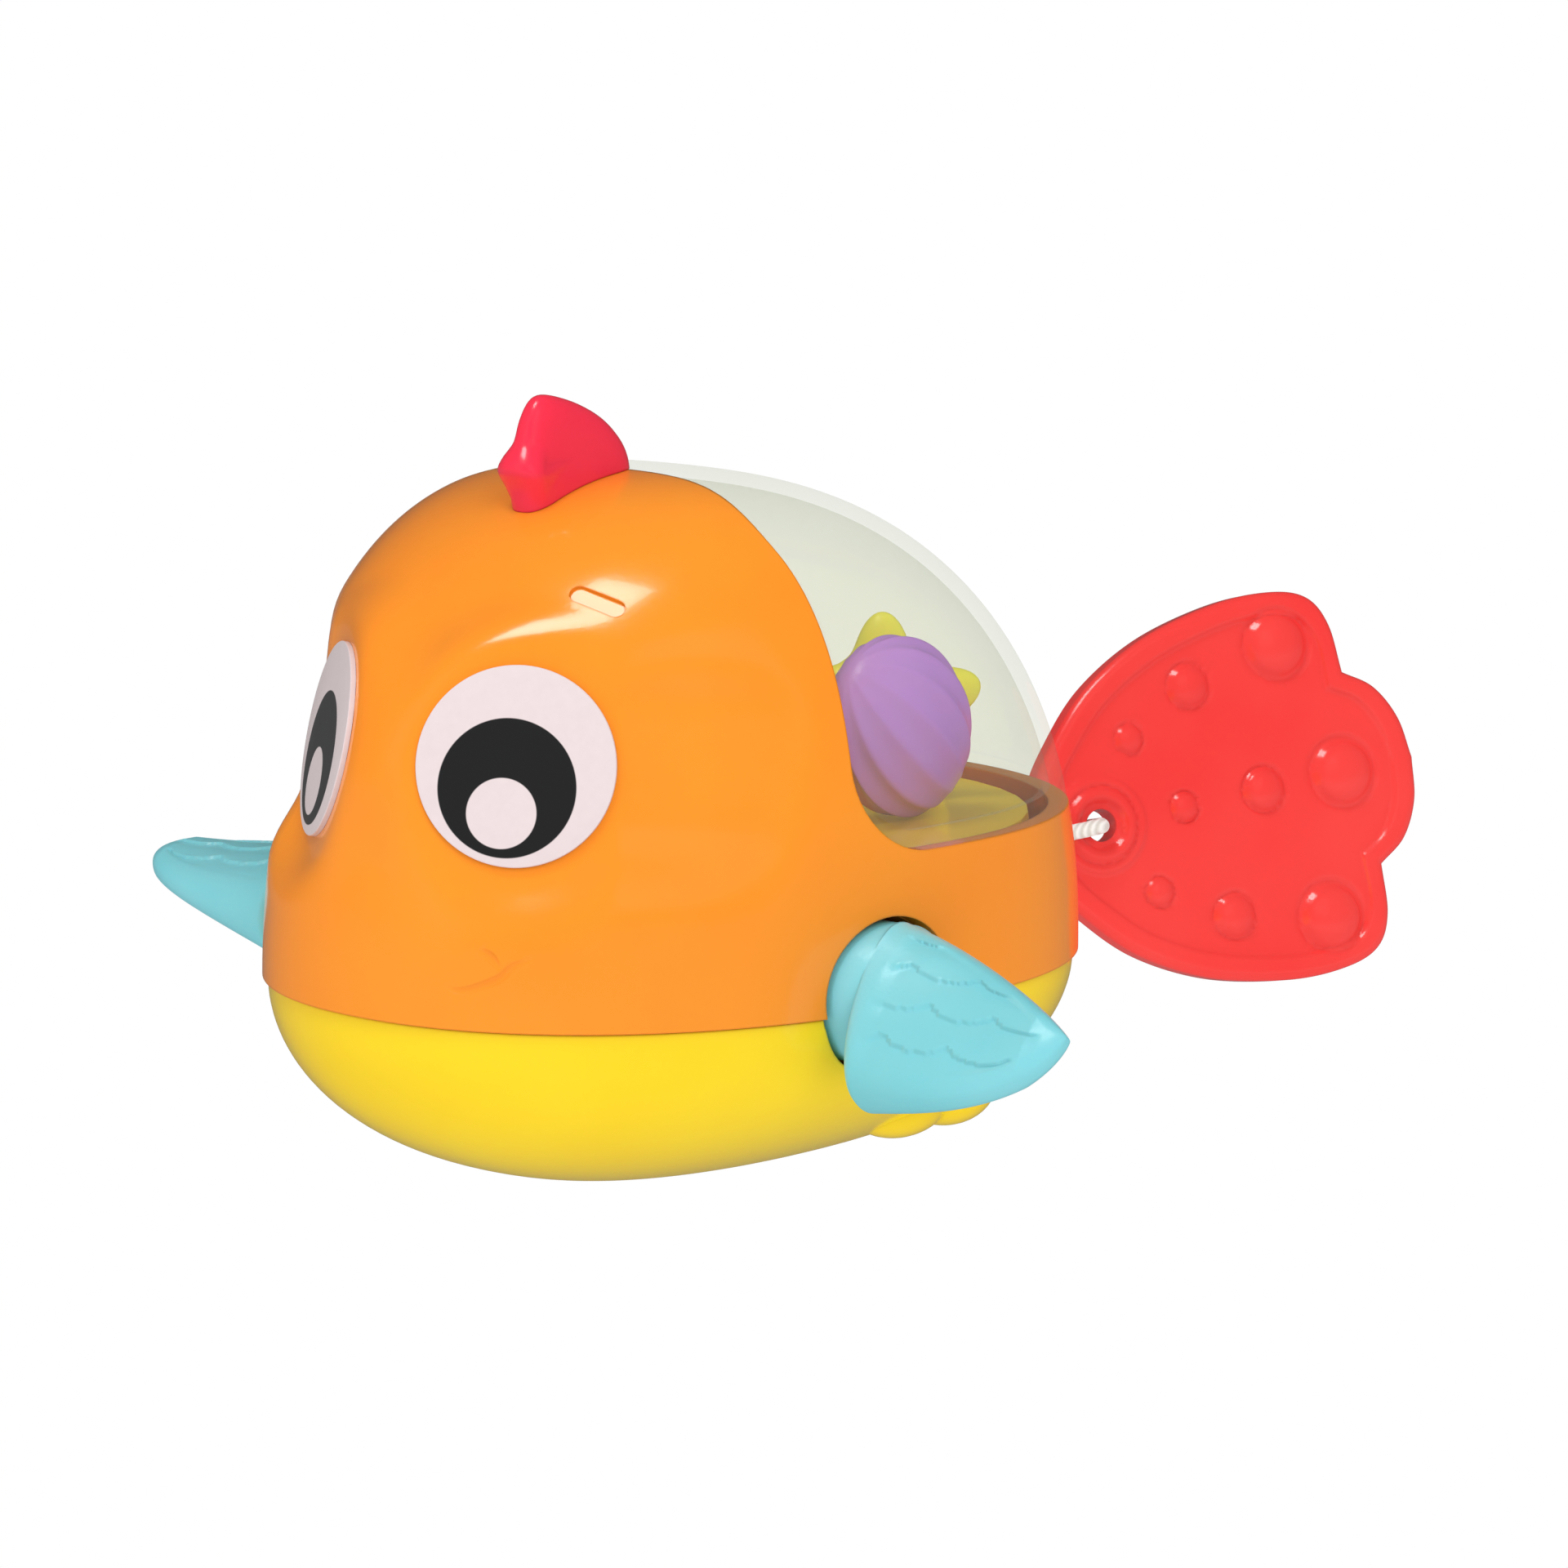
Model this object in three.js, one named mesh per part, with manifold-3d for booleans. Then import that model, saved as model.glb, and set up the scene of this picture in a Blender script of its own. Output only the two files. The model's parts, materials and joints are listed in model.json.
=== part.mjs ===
// Fish bath toy: a floating egg-shaped fish with paddling side fins, a clear dome over three
// loose sea creatures, and a tail on a pull cord that winds a spring and drives the fins.
// Millimetres, +Z up, the fish faces -Y and its left side is +X. The origin is the middle of
// the flat patch under the hull.
import * as THREE from 'three';
import { mergeVertices } from 'three/addons/utils/BufferGeometryUtils.js';
import Module from 'manifold-3d';

const wasm = await Module();
wasm.setup();

// Body: superellipse sections, measured from the middle of the seam between the two shells.
const HALF_WIDTH = 46;
const NOSE_LENGTH = 61.5;
const STERN_LENGTH = 45.8;
const CROWN_HEIGHT = 62.2;
const HULL_DEPTH = 26.9;
const BASE_TRIM = 0.8;
const CROWN_FORWARD = 14;
const HULL_STEP = 0.7;
const WALL = 2.4;
const FIT = 0.3;
const GASKET_HEIGHT = 0.8;
const PLAN_POWER = 2.16;
const CROWN_POWER = { front: 1.98, rear: 2.22 };
const UPPER_POWER = { front: 1.94, rear: 2.38, side: 3.2 };
const LOWER_POWER = { front: 2.42, rear: 2.53, side: 1.8 };
const BODY_SIDES = 40;
const UPPER_LEVELS = 9;
const LOWER_LEVELS = 5;

// Clear dome and the tray under it.
const RIM_FORWARD = 21;
const SILL_HEIGHT = 18.9;
const SILL_CORNER = 11;
const RIM_SHOULDER = 55;
const RIM_CROWN_RADIUS = 8;
const DOME_WALL = 1.8;
const DOME_FLANGE = 4;
const DOME_RIM_BAND = 2.6;
const TRAY_THICKNESS = 2;
const TRAY_DROP = 1;
const BULKHEAD_BEHIND_RIM = 3.2;

// Eye seats and labels.
const EYE = { forward: 50.6, side: 15.6, height: 30.8, turn: 35, tilt: 12 };
const EYE_RADIUS = 12;
const EYE_SEAT_RADIUS = 14.6;
const EYE_BOSS_DEPTH = 8;
const TEMPLE = { reach: 36, height: 12.5, slope: 0.25 };
const LABEL_THICKNESS = 0.4;

// Crest.
const CREST_HALF_THICKNESS = 2.2;
const CREST_BEVEL = 1.4;

// Fins, their wells and their axle.
const AXLE_FORWARD = 16.2;
const AXLE_ABOVE_SEAM = 1.9;
const AXLE_RADIUS = 2;
const AXLE_END = 45;
const FIN_PITCH = { left: 47, right: 3 };
const FIN_ROOT = 46.6;
const FIN_TIP = 76.5;
const FIN_LEAD = 15.5;
const FIN_TRAIL = 7.8;
const FIN_TIP_CHORD = 4;
const FIN_ROOT_HALF = 8.6;
const FIN_TIP_HALF = 2.6;
const FIN_TIP_LIFT = 4.2;
const FIN_SKEW = 0.3;
const HUB_RADIUS = 8.8;
const HUB_INNER = 38.3;
const WELL_RADIUS = 9.6;
const WELL_WALL = 1.8;
const WELL_INNER = 34.2;
const SEAL_RADIUS = 5;

// Tail, its pose on the cord, and the cord.
const TAIL_EYE = { behind: 79.1, aboveSeam: 4.8 };
const TAIL_TURN = 28.2;
const TAIL_LEAN = 12.2;
const TAIL_PITCH = 8;
const TAIL_THICKNESS = 5;
const TAIL_BEVEL = 1.2;
const TAIL_HOLE_RADIUS = 2.2;
const TAIL_RING_RADIUS = 5.6;
const TAIL_RING_HEIGHT = 0.8;
const CORD_RADIUS = 1.1;
const KNOT_RADIUS = 2.4;
const GROMMET = { bore: 1.8, barrel: 3.1, flange: 4.6, flangeThickness: 1.2 };

// Gear train: cord drum and axle pinion between two frame plates.
const GEAR_MODULE = 1;
const TEETH = { drum: 28, pinion: 14 };
const DRUM_DROP = 17.14;
const GEAR_WIDTH = 4;
const GEAR_LEFT = 7.4;
const DRUM_CORE = 7.8;
const DRUM_FLANGE = 12.5;
const DRUM_LENGTH = 13;
const DRUM_FLANGE_THICKNESS = 1.2;
const SHAFT_RADIUS = 1.9;
const RUNNING = 0.35;
const FRAME_INSIDE = 13;
const FRAME_THICKNESS = 2.5;
const FRAME_FOOT_HEIGHT = 8;
const FRAME_TOP = 40;
const FOOT_TAB = 7;
const SPACER_RADIUS = 2.5;
const SPRING_CASE = { radius: 11, length: 3.2, wall: 1 };
const SPRING_TURNS = 5;

// Fasteners.
const SCREW = { head: 2.9, headHeight: 2, shank: 1.3, length: 16 };
const SCREW_BITE = 8;
const SMALL_SCREW = { head: 2.3, headHeight: 1.5, shank: 1, length: 6 };
const BOSS_RADIUS = 4;
const FRONT_SCREW = { side: 0, forward: 36 };
const REAR_SCREW = { side: 24, forward: -24 };

const SEAM_Z = HULL_DEPTH - BASE_TRIM;
const SEAM_HALF_GAP = GASKET_HEIGHT / 2 + FIT;
const AXLE_Y = -AXLE_FORWARD;
const AXLE_Z = SEAM_Z + AXLE_ABOVE_SEAM;
const radians = THREE.MathUtils.degToRad;

// Solids

// A closed solid from a geometry, with its faces turned outwards.
function solid(geometry) {
  const plain = geometry.index ? geometry.toNonIndexed() : geometry.clone();
  plain.deleteAttribute('normal');
  plain.deleteAttribute('uv');
  const merged = mergeVertices(plain, 1e-4);
  const vertProperties = new Float32Array(merged.attributes.position.array);
  const triVerts = new Uint32Array(merged.index.array);
  const make = () => new wasm.Manifold(new wasm.Mesh({ numProp: 3, vertProperties, triVerts }));
  const first = make();
  if (first.volume() > 0) return first;
  for (let i = 0; i < triVerts.length; i += 3) {
    [triVerts[i], triVerts[i + 1]] = [triVerts[i + 1], triVerts[i]];
  }
  return make();
}

function geometryOf(body) {
  const mesh = body.getMesh();
  const geometry = new THREE.BufferGeometry();
  geometry.setAttribute('position', new THREE.BufferAttribute(mesh.vertProperties, 3));
  geometry.setIndex(new THREE.BufferAttribute(mesh.triVerts, 1));
  return geometry;
}

// A solid through rings of points, from the lowest ring to the highest, closed by fans.
function loft(rings) {
  const sides = rings[0].length;
  const points = rings.flat();
  const faces = [];
  for (let level = 0; level + 1 < rings.length; level += 1) {
    for (let i = 0; i < sides; i += 1) {
      const a = level * sides + i;
      const b = level * sides + ((i + 1) % sides);
      faces.push(a, b, a + sides, b, b + sides, a + sides);
    }
  }
  const middle = (ring) => ring.reduce((sum, p) => sum.add(p), new THREE.Vector3()).divideScalar(sides);
  const lowest = points.push(middle(rings[0])) - 1;
  const highest = points.push(middle(rings.at(-1))) - 1;
  const last = (rings.length - 1) * sides;
  for (let i = 0; i < sides; i += 1) {
    const next = (i + 1) % sides;
    faces.push(next, i, lowest, last + i, last + next, highest);
  }
  const geometry = new THREE.BufferGeometry().setFromPoints(points);
  geometry.setIndex(faces);
  return solid(geometry);
}

// A round bar along X, from x0 to x1.
function bar(radius, x0, x1, y, z, sides = 18) {
  const geometry = new THREE.CylinderGeometry(radius, radius, Math.abs(x1 - x0), sides);
  geometry.rotateZ(Math.PI / 2).translate((x0 + x1) / 2, y, z);
  return solid(geometry);
}

// An upright round post, from z0 to z1.
function post(radius, x, y, z0, z1, sides = 12) {
  const geometry = new THREE.CylinderGeometry(radius, radius, z1 - z0, sides);
  geometry.rotateX(Math.PI / 2).translate(x, y, (z0 + z1) / 2);
  return solid(geometry);
}

// A side-view outline, drawn as (forward, height), pulled from x0 to x1.
function sideExtrude(shape, x0, x1, options = {}) {
  const geometry = new THREE.ExtrudeGeometry(shape, {
    depth: x1 - x0, bevelEnabled: false, curveSegments: 5, ...options,
  });
  const basis = new THREE.Matrix4().makeBasis(
    new THREE.Vector3(0, -1, 0), new THREE.Vector3(0, 0, 1), new THREE.Vector3(-1, 0, 0));
  return solid(geometry.applyMatrix4(basis).translate(x1, 0, 0));
}

// Materials and scene graph

const toy = new THREE.Group();
const plastic = (color, roughness = 0.3) => new THREE.MeshStandardMaterial({ color, roughness });
const metal = (color, roughness = 0.35) => new THREE.MeshStandardMaterial({ color, roughness, metalness: 1 });

function add(name, body, material, parent = toy) {
  const mesh = new THREE.Mesh(geometryOf(body), material);
  mesh.name = name;
  parent.add(mesh);
  return mesh;
}

// Body surfaces

const fall = (t, power) => (t < 1 ? (1 - t ** power) ** (1 / power) : 0);
const signedPower = (value, power) => Math.sign(value) * Math.abs(value) ** power;

// One level section: front, rear and side reach, the exponents of its two halves.
function section(reach, powers, shift, z) {
  return Array.from({ length: BODY_SIDES }, (_, i) => {
    const angle = (i / BODY_SIDES) * Math.PI * 2;
    const power = 2 / (Math.cos(angle) >= 0 ? powers.front : powers.rear);
    const along = (Math.cos(angle) >= 0 ? reach.front : reach.rear) * signedPower(Math.cos(angle), power);
    return new THREE.Vector3(reach.side * signedPower(Math.sin(angle), power), -along - shift, z);
  });
}

// The body above the seam, shrunk by inset all over; drop lengthens it downwards to open a shell.
function upperBody(inset, drop = 0) {
  const rings = [];
  const floor = SEAM_Z + SEAM_HALF_GAP;
  for (let level = 0; level <= UPPER_LEVELS; level += 1) {
    const t = Math.min(Math.sin((level / UPPER_LEVELS) * Math.PI / 2), 0.9995);
    const reach = {
      front: (NOSE_LENGTH - inset) * fall(t, UPPER_POWER.front),
      rear: (STERN_LENGTH - inset) * fall(t, UPPER_POWER.rear),
      side: (HALF_WIDTH - inset) * fall(t, UPPER_POWER.side),
    };
    const powers = {
      front: THREE.MathUtils.lerp(PLAN_POWER, CROWN_POWER.front, t),
      rear: THREE.MathUtils.lerp(PLAN_POWER, CROWN_POWER.rear, t),
    };
    const z = level === 0 ? floor - drop : SEAM_Z + (CROWN_HEIGHT - inset) * t;
    rings.push(section(reach, powers, CROWN_FORWARD * t * t, z));
  }
  return loft(rings);
}

// The hull below the seam, shrunk by inset; its bottom is cut level at the given height.
function lowerBody(inset, bottom, rise = 0) {
  const rings = [];
  const ceiling = SEAM_Z - SEAM_HALF_GAP;
  const depth = HULL_DEPTH - inset;
  const end = (SEAM_Z - bottom) / depth;
  for (let level = LOWER_LEVELS; level >= 0; level -= 1) {
    const t = end * Math.sin((level / LOWER_LEVELS) * Math.PI / 2);
    const reach = {
      front: (NOSE_LENGTH - HULL_STEP - inset) * fall(t, LOWER_POWER.front),
      rear: (STERN_LENGTH - HULL_STEP - inset) * fall(t, LOWER_POWER.rear),
      side: (HALF_WIDTH - HULL_STEP - inset) * fall(t, LOWER_POWER.side),
    };
    const z = level === 0 ? ceiling + rise : SEAM_Z - depth * t;
    rings.push(section(reach, { front: PLAN_POWER, rear: PLAN_POWER }, 0, z));
  }
  return loft(rings);
}

// Side view of the dome opening: upright front edge, rounded sill corner, crown swept back.
function openingShape(grow) {
  const behind = -STERN_LENGTH - 20;
  const front = RIM_FORWARD + grow;
  const sill = SEAM_Z + SILL_HEIGHT - grow;
  const corner = SILL_CORNER + grow;
  const shoulder = SEAM_Z + RIM_SHOULDER;
  const crown = RIM_CROWN_RADIUS + grow;
  const shape = new THREE.Shape();
  shape.moveTo(behind, sill);
  shape.lineTo(front - corner, sill);
  shape.absarc(front - corner, sill + corner, corner, -Math.PI / 2, 0);
  shape.lineTo(front, shoulder);
  shape.absarc(front - crown, shoulder, crown, 0, Math.PI / 2);
  shape.lineTo(front - crown, shoulder + CROWN_HEIGHT);
  shape.lineTo(behind, shoulder + CROWN_HEIGHT);
  return shape;
}
const opening = (grow) => sideExtrude(openingShape(grow), -HALF_WIDTH - 10, HALF_WIDTH + 10);

// Eye seats

const eyeSides = [['left', 1], ['right', -1]];

// A round bar along the eye's own axis, from depth d0 to d1 in front of its seat.
function eyeBar(sign, radius, d0, d1) {
  const turn = radians(EYE.turn);
  const tilt = radians(EYE.tilt);
  const axis = new THREE.Vector3(
    sign * Math.sin(turn) * Math.cos(tilt), -Math.cos(turn) * Math.cos(tilt), Math.sin(tilt));
  const seat = new THREE.Vector3(sign * EYE.side, -EYE.forward, SEAM_Z + EYE.height);
  const geometry = new THREE.CylinderGeometry(radius, radius, d1 - d0, 32);
  geometry.applyQuaternion(new THREE.Quaternion().setFromUnitVectors(new THREE.Vector3(0, 1, 0), axis));
  const middle = seat.addScaledVector(axis, (d0 + d1) / 2);
  return solid(geometry.translate(middle.x, middle.y, middle.z));
}

// The temple beside the eye: everything in front of the seat and of a plane sloping back from it.
function templeBlock(sign, depth) {
  const turn = radians(EYE.turn);
  const tilt = radians(EYE.tilt);
  const axis = new THREE.Vector3(
    sign * Math.sin(turn) * Math.cos(tilt), -Math.cos(turn) * Math.cos(tilt), Math.sin(tilt));
  const outward = new THREE.Vector3(sign * Math.cos(turn), Math.sin(turn), 0);
  const outline = new THREE.Shape([
    [-EYE_SEAT_RADIUS, depth], [EYE_RADIUS, depth],
    [TEMPLE.reach, depth - TEMPLE.slope * (TEMPLE.reach - EYE_RADIUS)],
    [TEMPLE.reach, 20], [-EYE_SEAT_RADIUS, 20],
  ].map(([across, out]) => new THREE.Vector2(across, out)));
  const block = new THREE.ExtrudeGeometry(outline, { depth: 2 * TEMPLE.height, bevelEnabled: false });
  block.translate(0, 0, -TEMPLE.height);
  const basis = new THREE.Matrix4().makeBasis(outward, axis, outward.clone().cross(axis));
  return solid(block.applyMatrix4(basis.setPosition(sign * EYE.side, -EYE.forward, SEAM_Z + EYE.height)));
}

// Screws stand under the hull; the front one goes up into the shell, the rear pair into the tray.
const hullScrews = [
  { x: FRONT_SCREW.side, y: -FRONT_SCREW.forward, front: true },
  { x: REAR_SCREW.side, y: -REAR_SCREW.forward, front: false },
  { x: -REAR_SCREW.side, y: -REAR_SCREW.forward, front: false },
];
const SCREW_SEAT = SEAM_Z - SCREW.length + SCREW_BITE;

// Upper shell: moulded hood with the dome opening, eye seats, fin arches and a screw post.
const sideHoles = bar(WELL_RADIUS, -HALF_WIDTH - 10, HALF_WIDTH + 10, AXLE_Y, AXLE_Z, 32);
const cordZ = SEAM_Z + TAIL_EYE.aboveSeam;
const cordHole = solid(new THREE.CylinderGeometry(GROMMET.barrel + FIT, GROMMET.barrel + FIT, 30, 20)
  .translate(0, STERN_LENGTH, cordZ));
const outerUpper = upperBody(0);
const upperCore = upperBody(WALL, 4);
let hood = outerUpper.subtract(upperCore);
for (const [, sign] of eyeSides) {
  const pad = eyeBar(sign, EYE_SEAT_RADIUS + WALL, -WALL, WALL * 3).add(templeBlock(sign, -WALL));
  hood = hood.add(pad.intersect(upperBody(WALL / 4)).subtract(upperBody(3 * WALL, WALL)));
  hood = hood.subtract(eyeBar(sign, EYE_SEAT_RADIUS, 0, 20)).subtract(templeBlock(sign, 0));
  hood = hood.add(eyeBar(sign, EYE_RADIUS + 1.2, -EYE_BOSS_DEPTH, 0).subtract(upperBody(WALL, WALL)));
}
for (const { x, y, front } of hullScrews) {
  if (front) {
    const column = post(BOSS_RADIUS, x, y, SEAM_Z + SEAM_HALF_GAP, SEAM_Z + CROWN_HEIGHT);
    hood = hood.add(column.intersect(upperBody(WALL / 2)));
    hood = hood.subtract(post(SCREW.shank + FIT, x, y, SEAM_Z - 1, SEAM_Z + SCREW.length));
  }
}
hood = hood.subtract(opening(0)).subtract(sideHoles).subtract(cordHole);
add('upper_shell', hood, plastic(0xf99d32, 0.22));

// Lower hull: moulded bowl with screw bosses, frame pedestals and two petal lobes on each side.
const LOBES = [
  { side: 25, forward: -8, height: 8.8, reach: [6.5, 9.5, 5], turn: 20 },
  { side: 25, forward: -17.2, height: 8.9, reach: [6.6, 9.2, 5], turn: 35 },
];
const pedestals = [-4, 12].flatMap((y) => [1, -1].map((sign) => ({ x: sign * (FRAME_INSIDE + 6), y })));
let bowl = lowerBody(0, 0);
for (const lobe of LOBES) {
  for (const sign of [1, -1]) {
    const petal = new THREE.SphereGeometry(1, 14, 8).scale(...lobe.reach);
    petal.rotateZ(sign * radians(lobe.turn));
    petal.translate(sign * lobe.side, -lobe.forward, lobe.height);
    bowl = bowl.add(solid(petal));
  }
}
bowl = bowl.subtract(lowerBody(WALL, WALL, 4));
for (const { x, y } of hullScrews) {
  const boss = post(BOSS_RADIUS, x, y, 0, SEAM_Z - SEAM_HALF_GAP);
  bowl = bowl.add(boss.intersect(lowerBody(WALL / 2, WALL / 2)));
  bowl = bowl.subtract(post(SCREW.shank + FIT, x, y, 0, SEAM_Z + 1));
  bowl = bowl.subtract(post(SCREW.head + FIT, x, y, -1, SCREW_SEAT));
}
for (const { x, y } of pedestals) {
  const stand = post(BOSS_RADIUS - 0.5, x, y, 0, FRAME_FOOT_HEIGHT - FIT);
  bowl = bowl.add(stand.intersect(lowerBody(WALL / 2, WALL / 2)));
  bowl = bowl.subtract(post(SMALL_SCREW.shank + FIT, x, y, FRAME_FOOT_HEIGHT - 2.4, FRAME_FOOT_HEIGHT));
}
add('lower_hull', bowl.subtract(sideHoles), plastic(0xfad728, 0.25));

// Seam gasket: soft flat ring between the two shells, set back from the outside.
const gasketBand = (inset) => loft([-1, 1].map((end) => section(
  { front: NOSE_LENGTH - inset, rear: STERN_LENGTH - inset, side: HALF_WIDTH - inset },
  { front: PLAN_POWER, rear: PLAN_POWER }, 0, SEAM_Z + end * GASKET_HEIGHT / 2)));
const gasketBore = (inset) => loft([-1, 1].map((end) => section(
  { front: NOSE_LENGTH - inset, rear: STERN_LENGTH - inset, side: HALF_WIDTH - inset },
  { front: PLAN_POWER, rear: PLAN_POWER }, 0, SEAM_Z + end * GASKET_HEIGHT)));
const wellRoom = bar(WELL_RADIUS + WELL_WALL + FIT, -HALF_WIDTH - 10, HALF_WIDTH + 10, AXLE_Y, AXLE_Z, 32);
const gasketRing = gasketBand(HULL_STEP + 0.5).subtract(gasketBore(WALL));
const gasketRear = new THREE.BoxGeometry(200, 200, 20).translate(0, AXLE_Y + 100, SEAM_Z);
const gasketFront = new THREE.BoxGeometry(200, 200, 20).translate(0, AXLE_Y - 100, SEAM_Z);
const gasketCut = gasketRing.subtract(wellRoom);
add('seam_gasket_front', gasketCut.intersect(solid(gasketFront)), plastic(0xc9781c, 0.7));
add('seam_gasket_rear', gasketCut.intersect(solid(gasketRear)), plastic(0xc9781c, 0.7));

// Clear dome: thin wall flush with the hood, a rim band and a flange held behind the hood's edge.
const layer = (outer, inner) => upperBody(outer).subtract(upperBody(inner, 4));
const flangeOuter = WALL + FIT;
const flangeInner = flangeOuter + DOME_WALL;
const window = opening(-FIT);
const rimBand = window.subtract(opening(-DOME_RIM_BAND));
const flangeBand = opening(DOME_FLANGE).subtract(opening(-DOME_RIM_BAND));
let dome = layer(0.1, DOME_WALL).intersect(window);
dome = dome.add(layer(0.1, flangeInner).intersect(rimBand));
dome = dome.add(layer(flangeOuter, flangeInner).intersect(flangeBand));
add('clear_dome', dome, new THREE.MeshStandardMaterial({
  color: 0xdddfd3, roughness: 0.05, transparent: true, opacity: 0.35,
}));

// Play tray: floor under the dome, a bulkhead towards the head and two legs on the rear screws.
const trayInset = flangeInner + FIT;
const trayTop = SEAM_Z + SILL_HEIGHT - TRAY_DROP;
const bulkheadFront = RIM_FORWARD + BULKHEAD_BEHIND_RIM + TRAY_THICKNESS;
const slab = (y0, y1, z0, z1) => solid(new THREE.BoxGeometry(200, y1 - y0, z1 - z0)
  .translate(0, (y0 + y1) / 2, (z0 + z1) / 2));
const trayFloor = slab(-bulkheadFront, STERN_LENGTH, trayTop - TRAY_THICKNESS, trayTop);
const bulkhead = slab(-bulkheadFront, TRAY_THICKNESS - bulkheadFront, trayTop - 0.5, SEAM_Z + CROWN_HEIGHT);
let tray = trayFloor.add(bulkhead).intersect(upperBody(trayInset));
for (const { x, y, front } of hullScrews) {
  if (!front) {
    tray = tray.add(post(BOSS_RADIUS, x, y, SEAM_Z + SEAM_HALF_GAP, trayTop - TRAY_THICKNESS / 2));
    tray = tray.subtract(post(SCREW.shank + FIT, x, y, SEAM_Z - 1, SEAM_Z + SCREW.length));
  }
}
add('play_tray', tray, plastic(0xf6d23a, 0.35));

// Eye labels: printed discs on the flat eye seats.
for (const [side, sign] of eyeSides) {
  add(`${side}_eye_label`, eyeBar(sign, EYE_RADIUS, FIT, FIT + LABEL_THICKNESS), plastic(0xeee8e8, 0.4));
}

// Crest: soft red fin on the crown, with a knob at its front foot.
const CREST_OUTLINE = [
  [35.4, -6], [35.4, 1.2], [34.6, 3], [33.6, 4.4], [32.8, 6.4], [31.2, 9], [29.4, 10],
  [26.5, 9.5], [21.5, 7.4], [17.4, 4.4], [15.6, 0.8], [15.4, -6],
];
const crestCurve = new THREE.SplineCurve(CREST_OUTLINE.slice(1, -1).map(([f, z]) => new THREE.Vector2(f, z)));
const crestShape = new THREE.Shape([
  new THREE.Vector2(...CREST_OUTLINE[0]),
  ...crestCurve.getPoints(20),
  new THREE.Vector2(...CREST_OUTLINE.at(-1)),
]);
const crestBody = sideExtrude(crestShape, -CREST_HALF_THICKNESS, CREST_HALF_THICKNESS, {
  bevelEnabled: true, bevelSize: CREST_BEVEL, bevelOffset: -CREST_BEVEL,
  bevelThickness: CREST_BEVEL, bevelSegments: 2,
}).translate([0, 0, SEAM_Z + CROWN_HEIGHT]);
const knob = solid(new THREE.SphereGeometry(3.6, 14, 10).translate(0, -33.2, SEAM_Z + CROWN_HEIGHT - 0.6));
add('crest', crestBody.add(knob).subtract(upperBody(-FIT)), plastic(0xf0374b, 0.3));

// Fin wells: cups behind the side holes that keep the water out and carry the axle.
const innerBody = upperBody(WALL + FIT).add(lowerBody(WALL + FIT, WALL + FIT, 2 * SEAM_HALF_GAP + 1));
for (const [side, sign] of eyeSides) {
  const outer = bar(WELL_RADIUS + WELL_WALL, sign * WELL_INNER, sign * HALF_WIDTH, AXLE_Y, AXLE_Z, 32);
  const room = bar(WELL_RADIUS, sign * (WELL_INNER + WELL_WALL), sign * (HALF_WIDTH + 1), AXLE_Y, AXLE_Z, 32);
  const bore = bar(AXLE_RADIUS + FIT, sign * (WELL_INNER - 1), sign * HALF_WIDTH, AXLE_Y, AXLE_Z);
  add(`${side}_fin_well`, outer.subtract(room).subtract(bore).intersect(innerBody), plastic(0xe8912c, 0.5));
  const sealStart = WELL_INNER + WELL_WALL + FIT;
  const ring = bar(SEAL_RADIUS, sign * sealStart, sign * (HUB_INNER - FIT), AXLE_Y, AXLE_Z);
  add(`${side}_axle_seal`, ring.subtract(bore), plastic(0x303030, 0.8));
}
add('fin_axle', bar(AXLE_RADIUS, -AXLE_END, AXLE_END, AXLE_Y, AXLE_Z), metal(0xb8bcc2));

// Fins: hub in the well and a swept blade, thick where it leaves the hub and thin at its tip, with
// a rounded front corner at the root, keyed on the axle ends at their own pitch.
function finBody(sign) {
  const stations = [0, 0.012, 0.035, 0.07, 0.2, 0.36, 0.52, 0.67, 0.8, 0.9, 0.96, 0.998];
  const blade = stations.map((u) => {
    const root = 0.7 + 0.3 * Math.sqrt(1 - (1 - Math.min(u / 0.07, 1)) ** 2);
    const lead = FIN_TIP_CHORD + (FIN_LEAD - FIN_TIP_CHORD) * (1 - u ** 3) ** 0.5;
    const trail = FIN_TIP_CHORD - (FIN_TRAIL + FIN_TIP_CHORD) * (1 - u ** 1.3) ** 0.9;
    const half = FIN_TIP_HALF + (FIN_ROOT_HALF - FIN_TIP_HALF) * (1 - u) ** 1.6;
    const tip = Math.min(1, (1 - u) * 7 + 0.02) ** 0.5;
    const out = THREE.MathUtils.lerp(FIN_ROOT, FIN_TIP, u);
    return Array.from({ length: 20 }, (_, i) => {
      const angle = (i / 20) * Math.PI * 2;
      const share = signedPower(Math.cos(angle), 0.85);
      const reach = share + FIN_SKEW * (share ** 2 - 1);
      const chord = (lead * root + trail) / 2 + ((lead * root - trail) / 2) * reach;
      const lift = FIN_TIP_LIFT * u + half * tip * signedPower(Math.sin(angle), 0.85);
      return new THREE.Vector3(sign * out, -chord, lift);
    });
  });
  const hub = bar(HUB_RADIUS, sign * HUB_INNER, sign * (FIN_ROOT + 0.5), 0, 0, 32);
  const bore = bar(AXLE_RADIUS + FIT, sign * (HUB_INNER - 1), sign * (AXLE_END + FIT), 0, 0);
  return loft(blade).add(hub).subtract(bore);
}
for (const [side, sign] of eyeSides) {
  const fin = add(`${side}_fin`, finBody(sign), plastic(0x6fd0d8, 0.4));
  fin.position.set(0, AXLE_Y, AXLE_Z);
  fin.rotation.x = radians(FIN_PITCH[side]);
}

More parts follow.
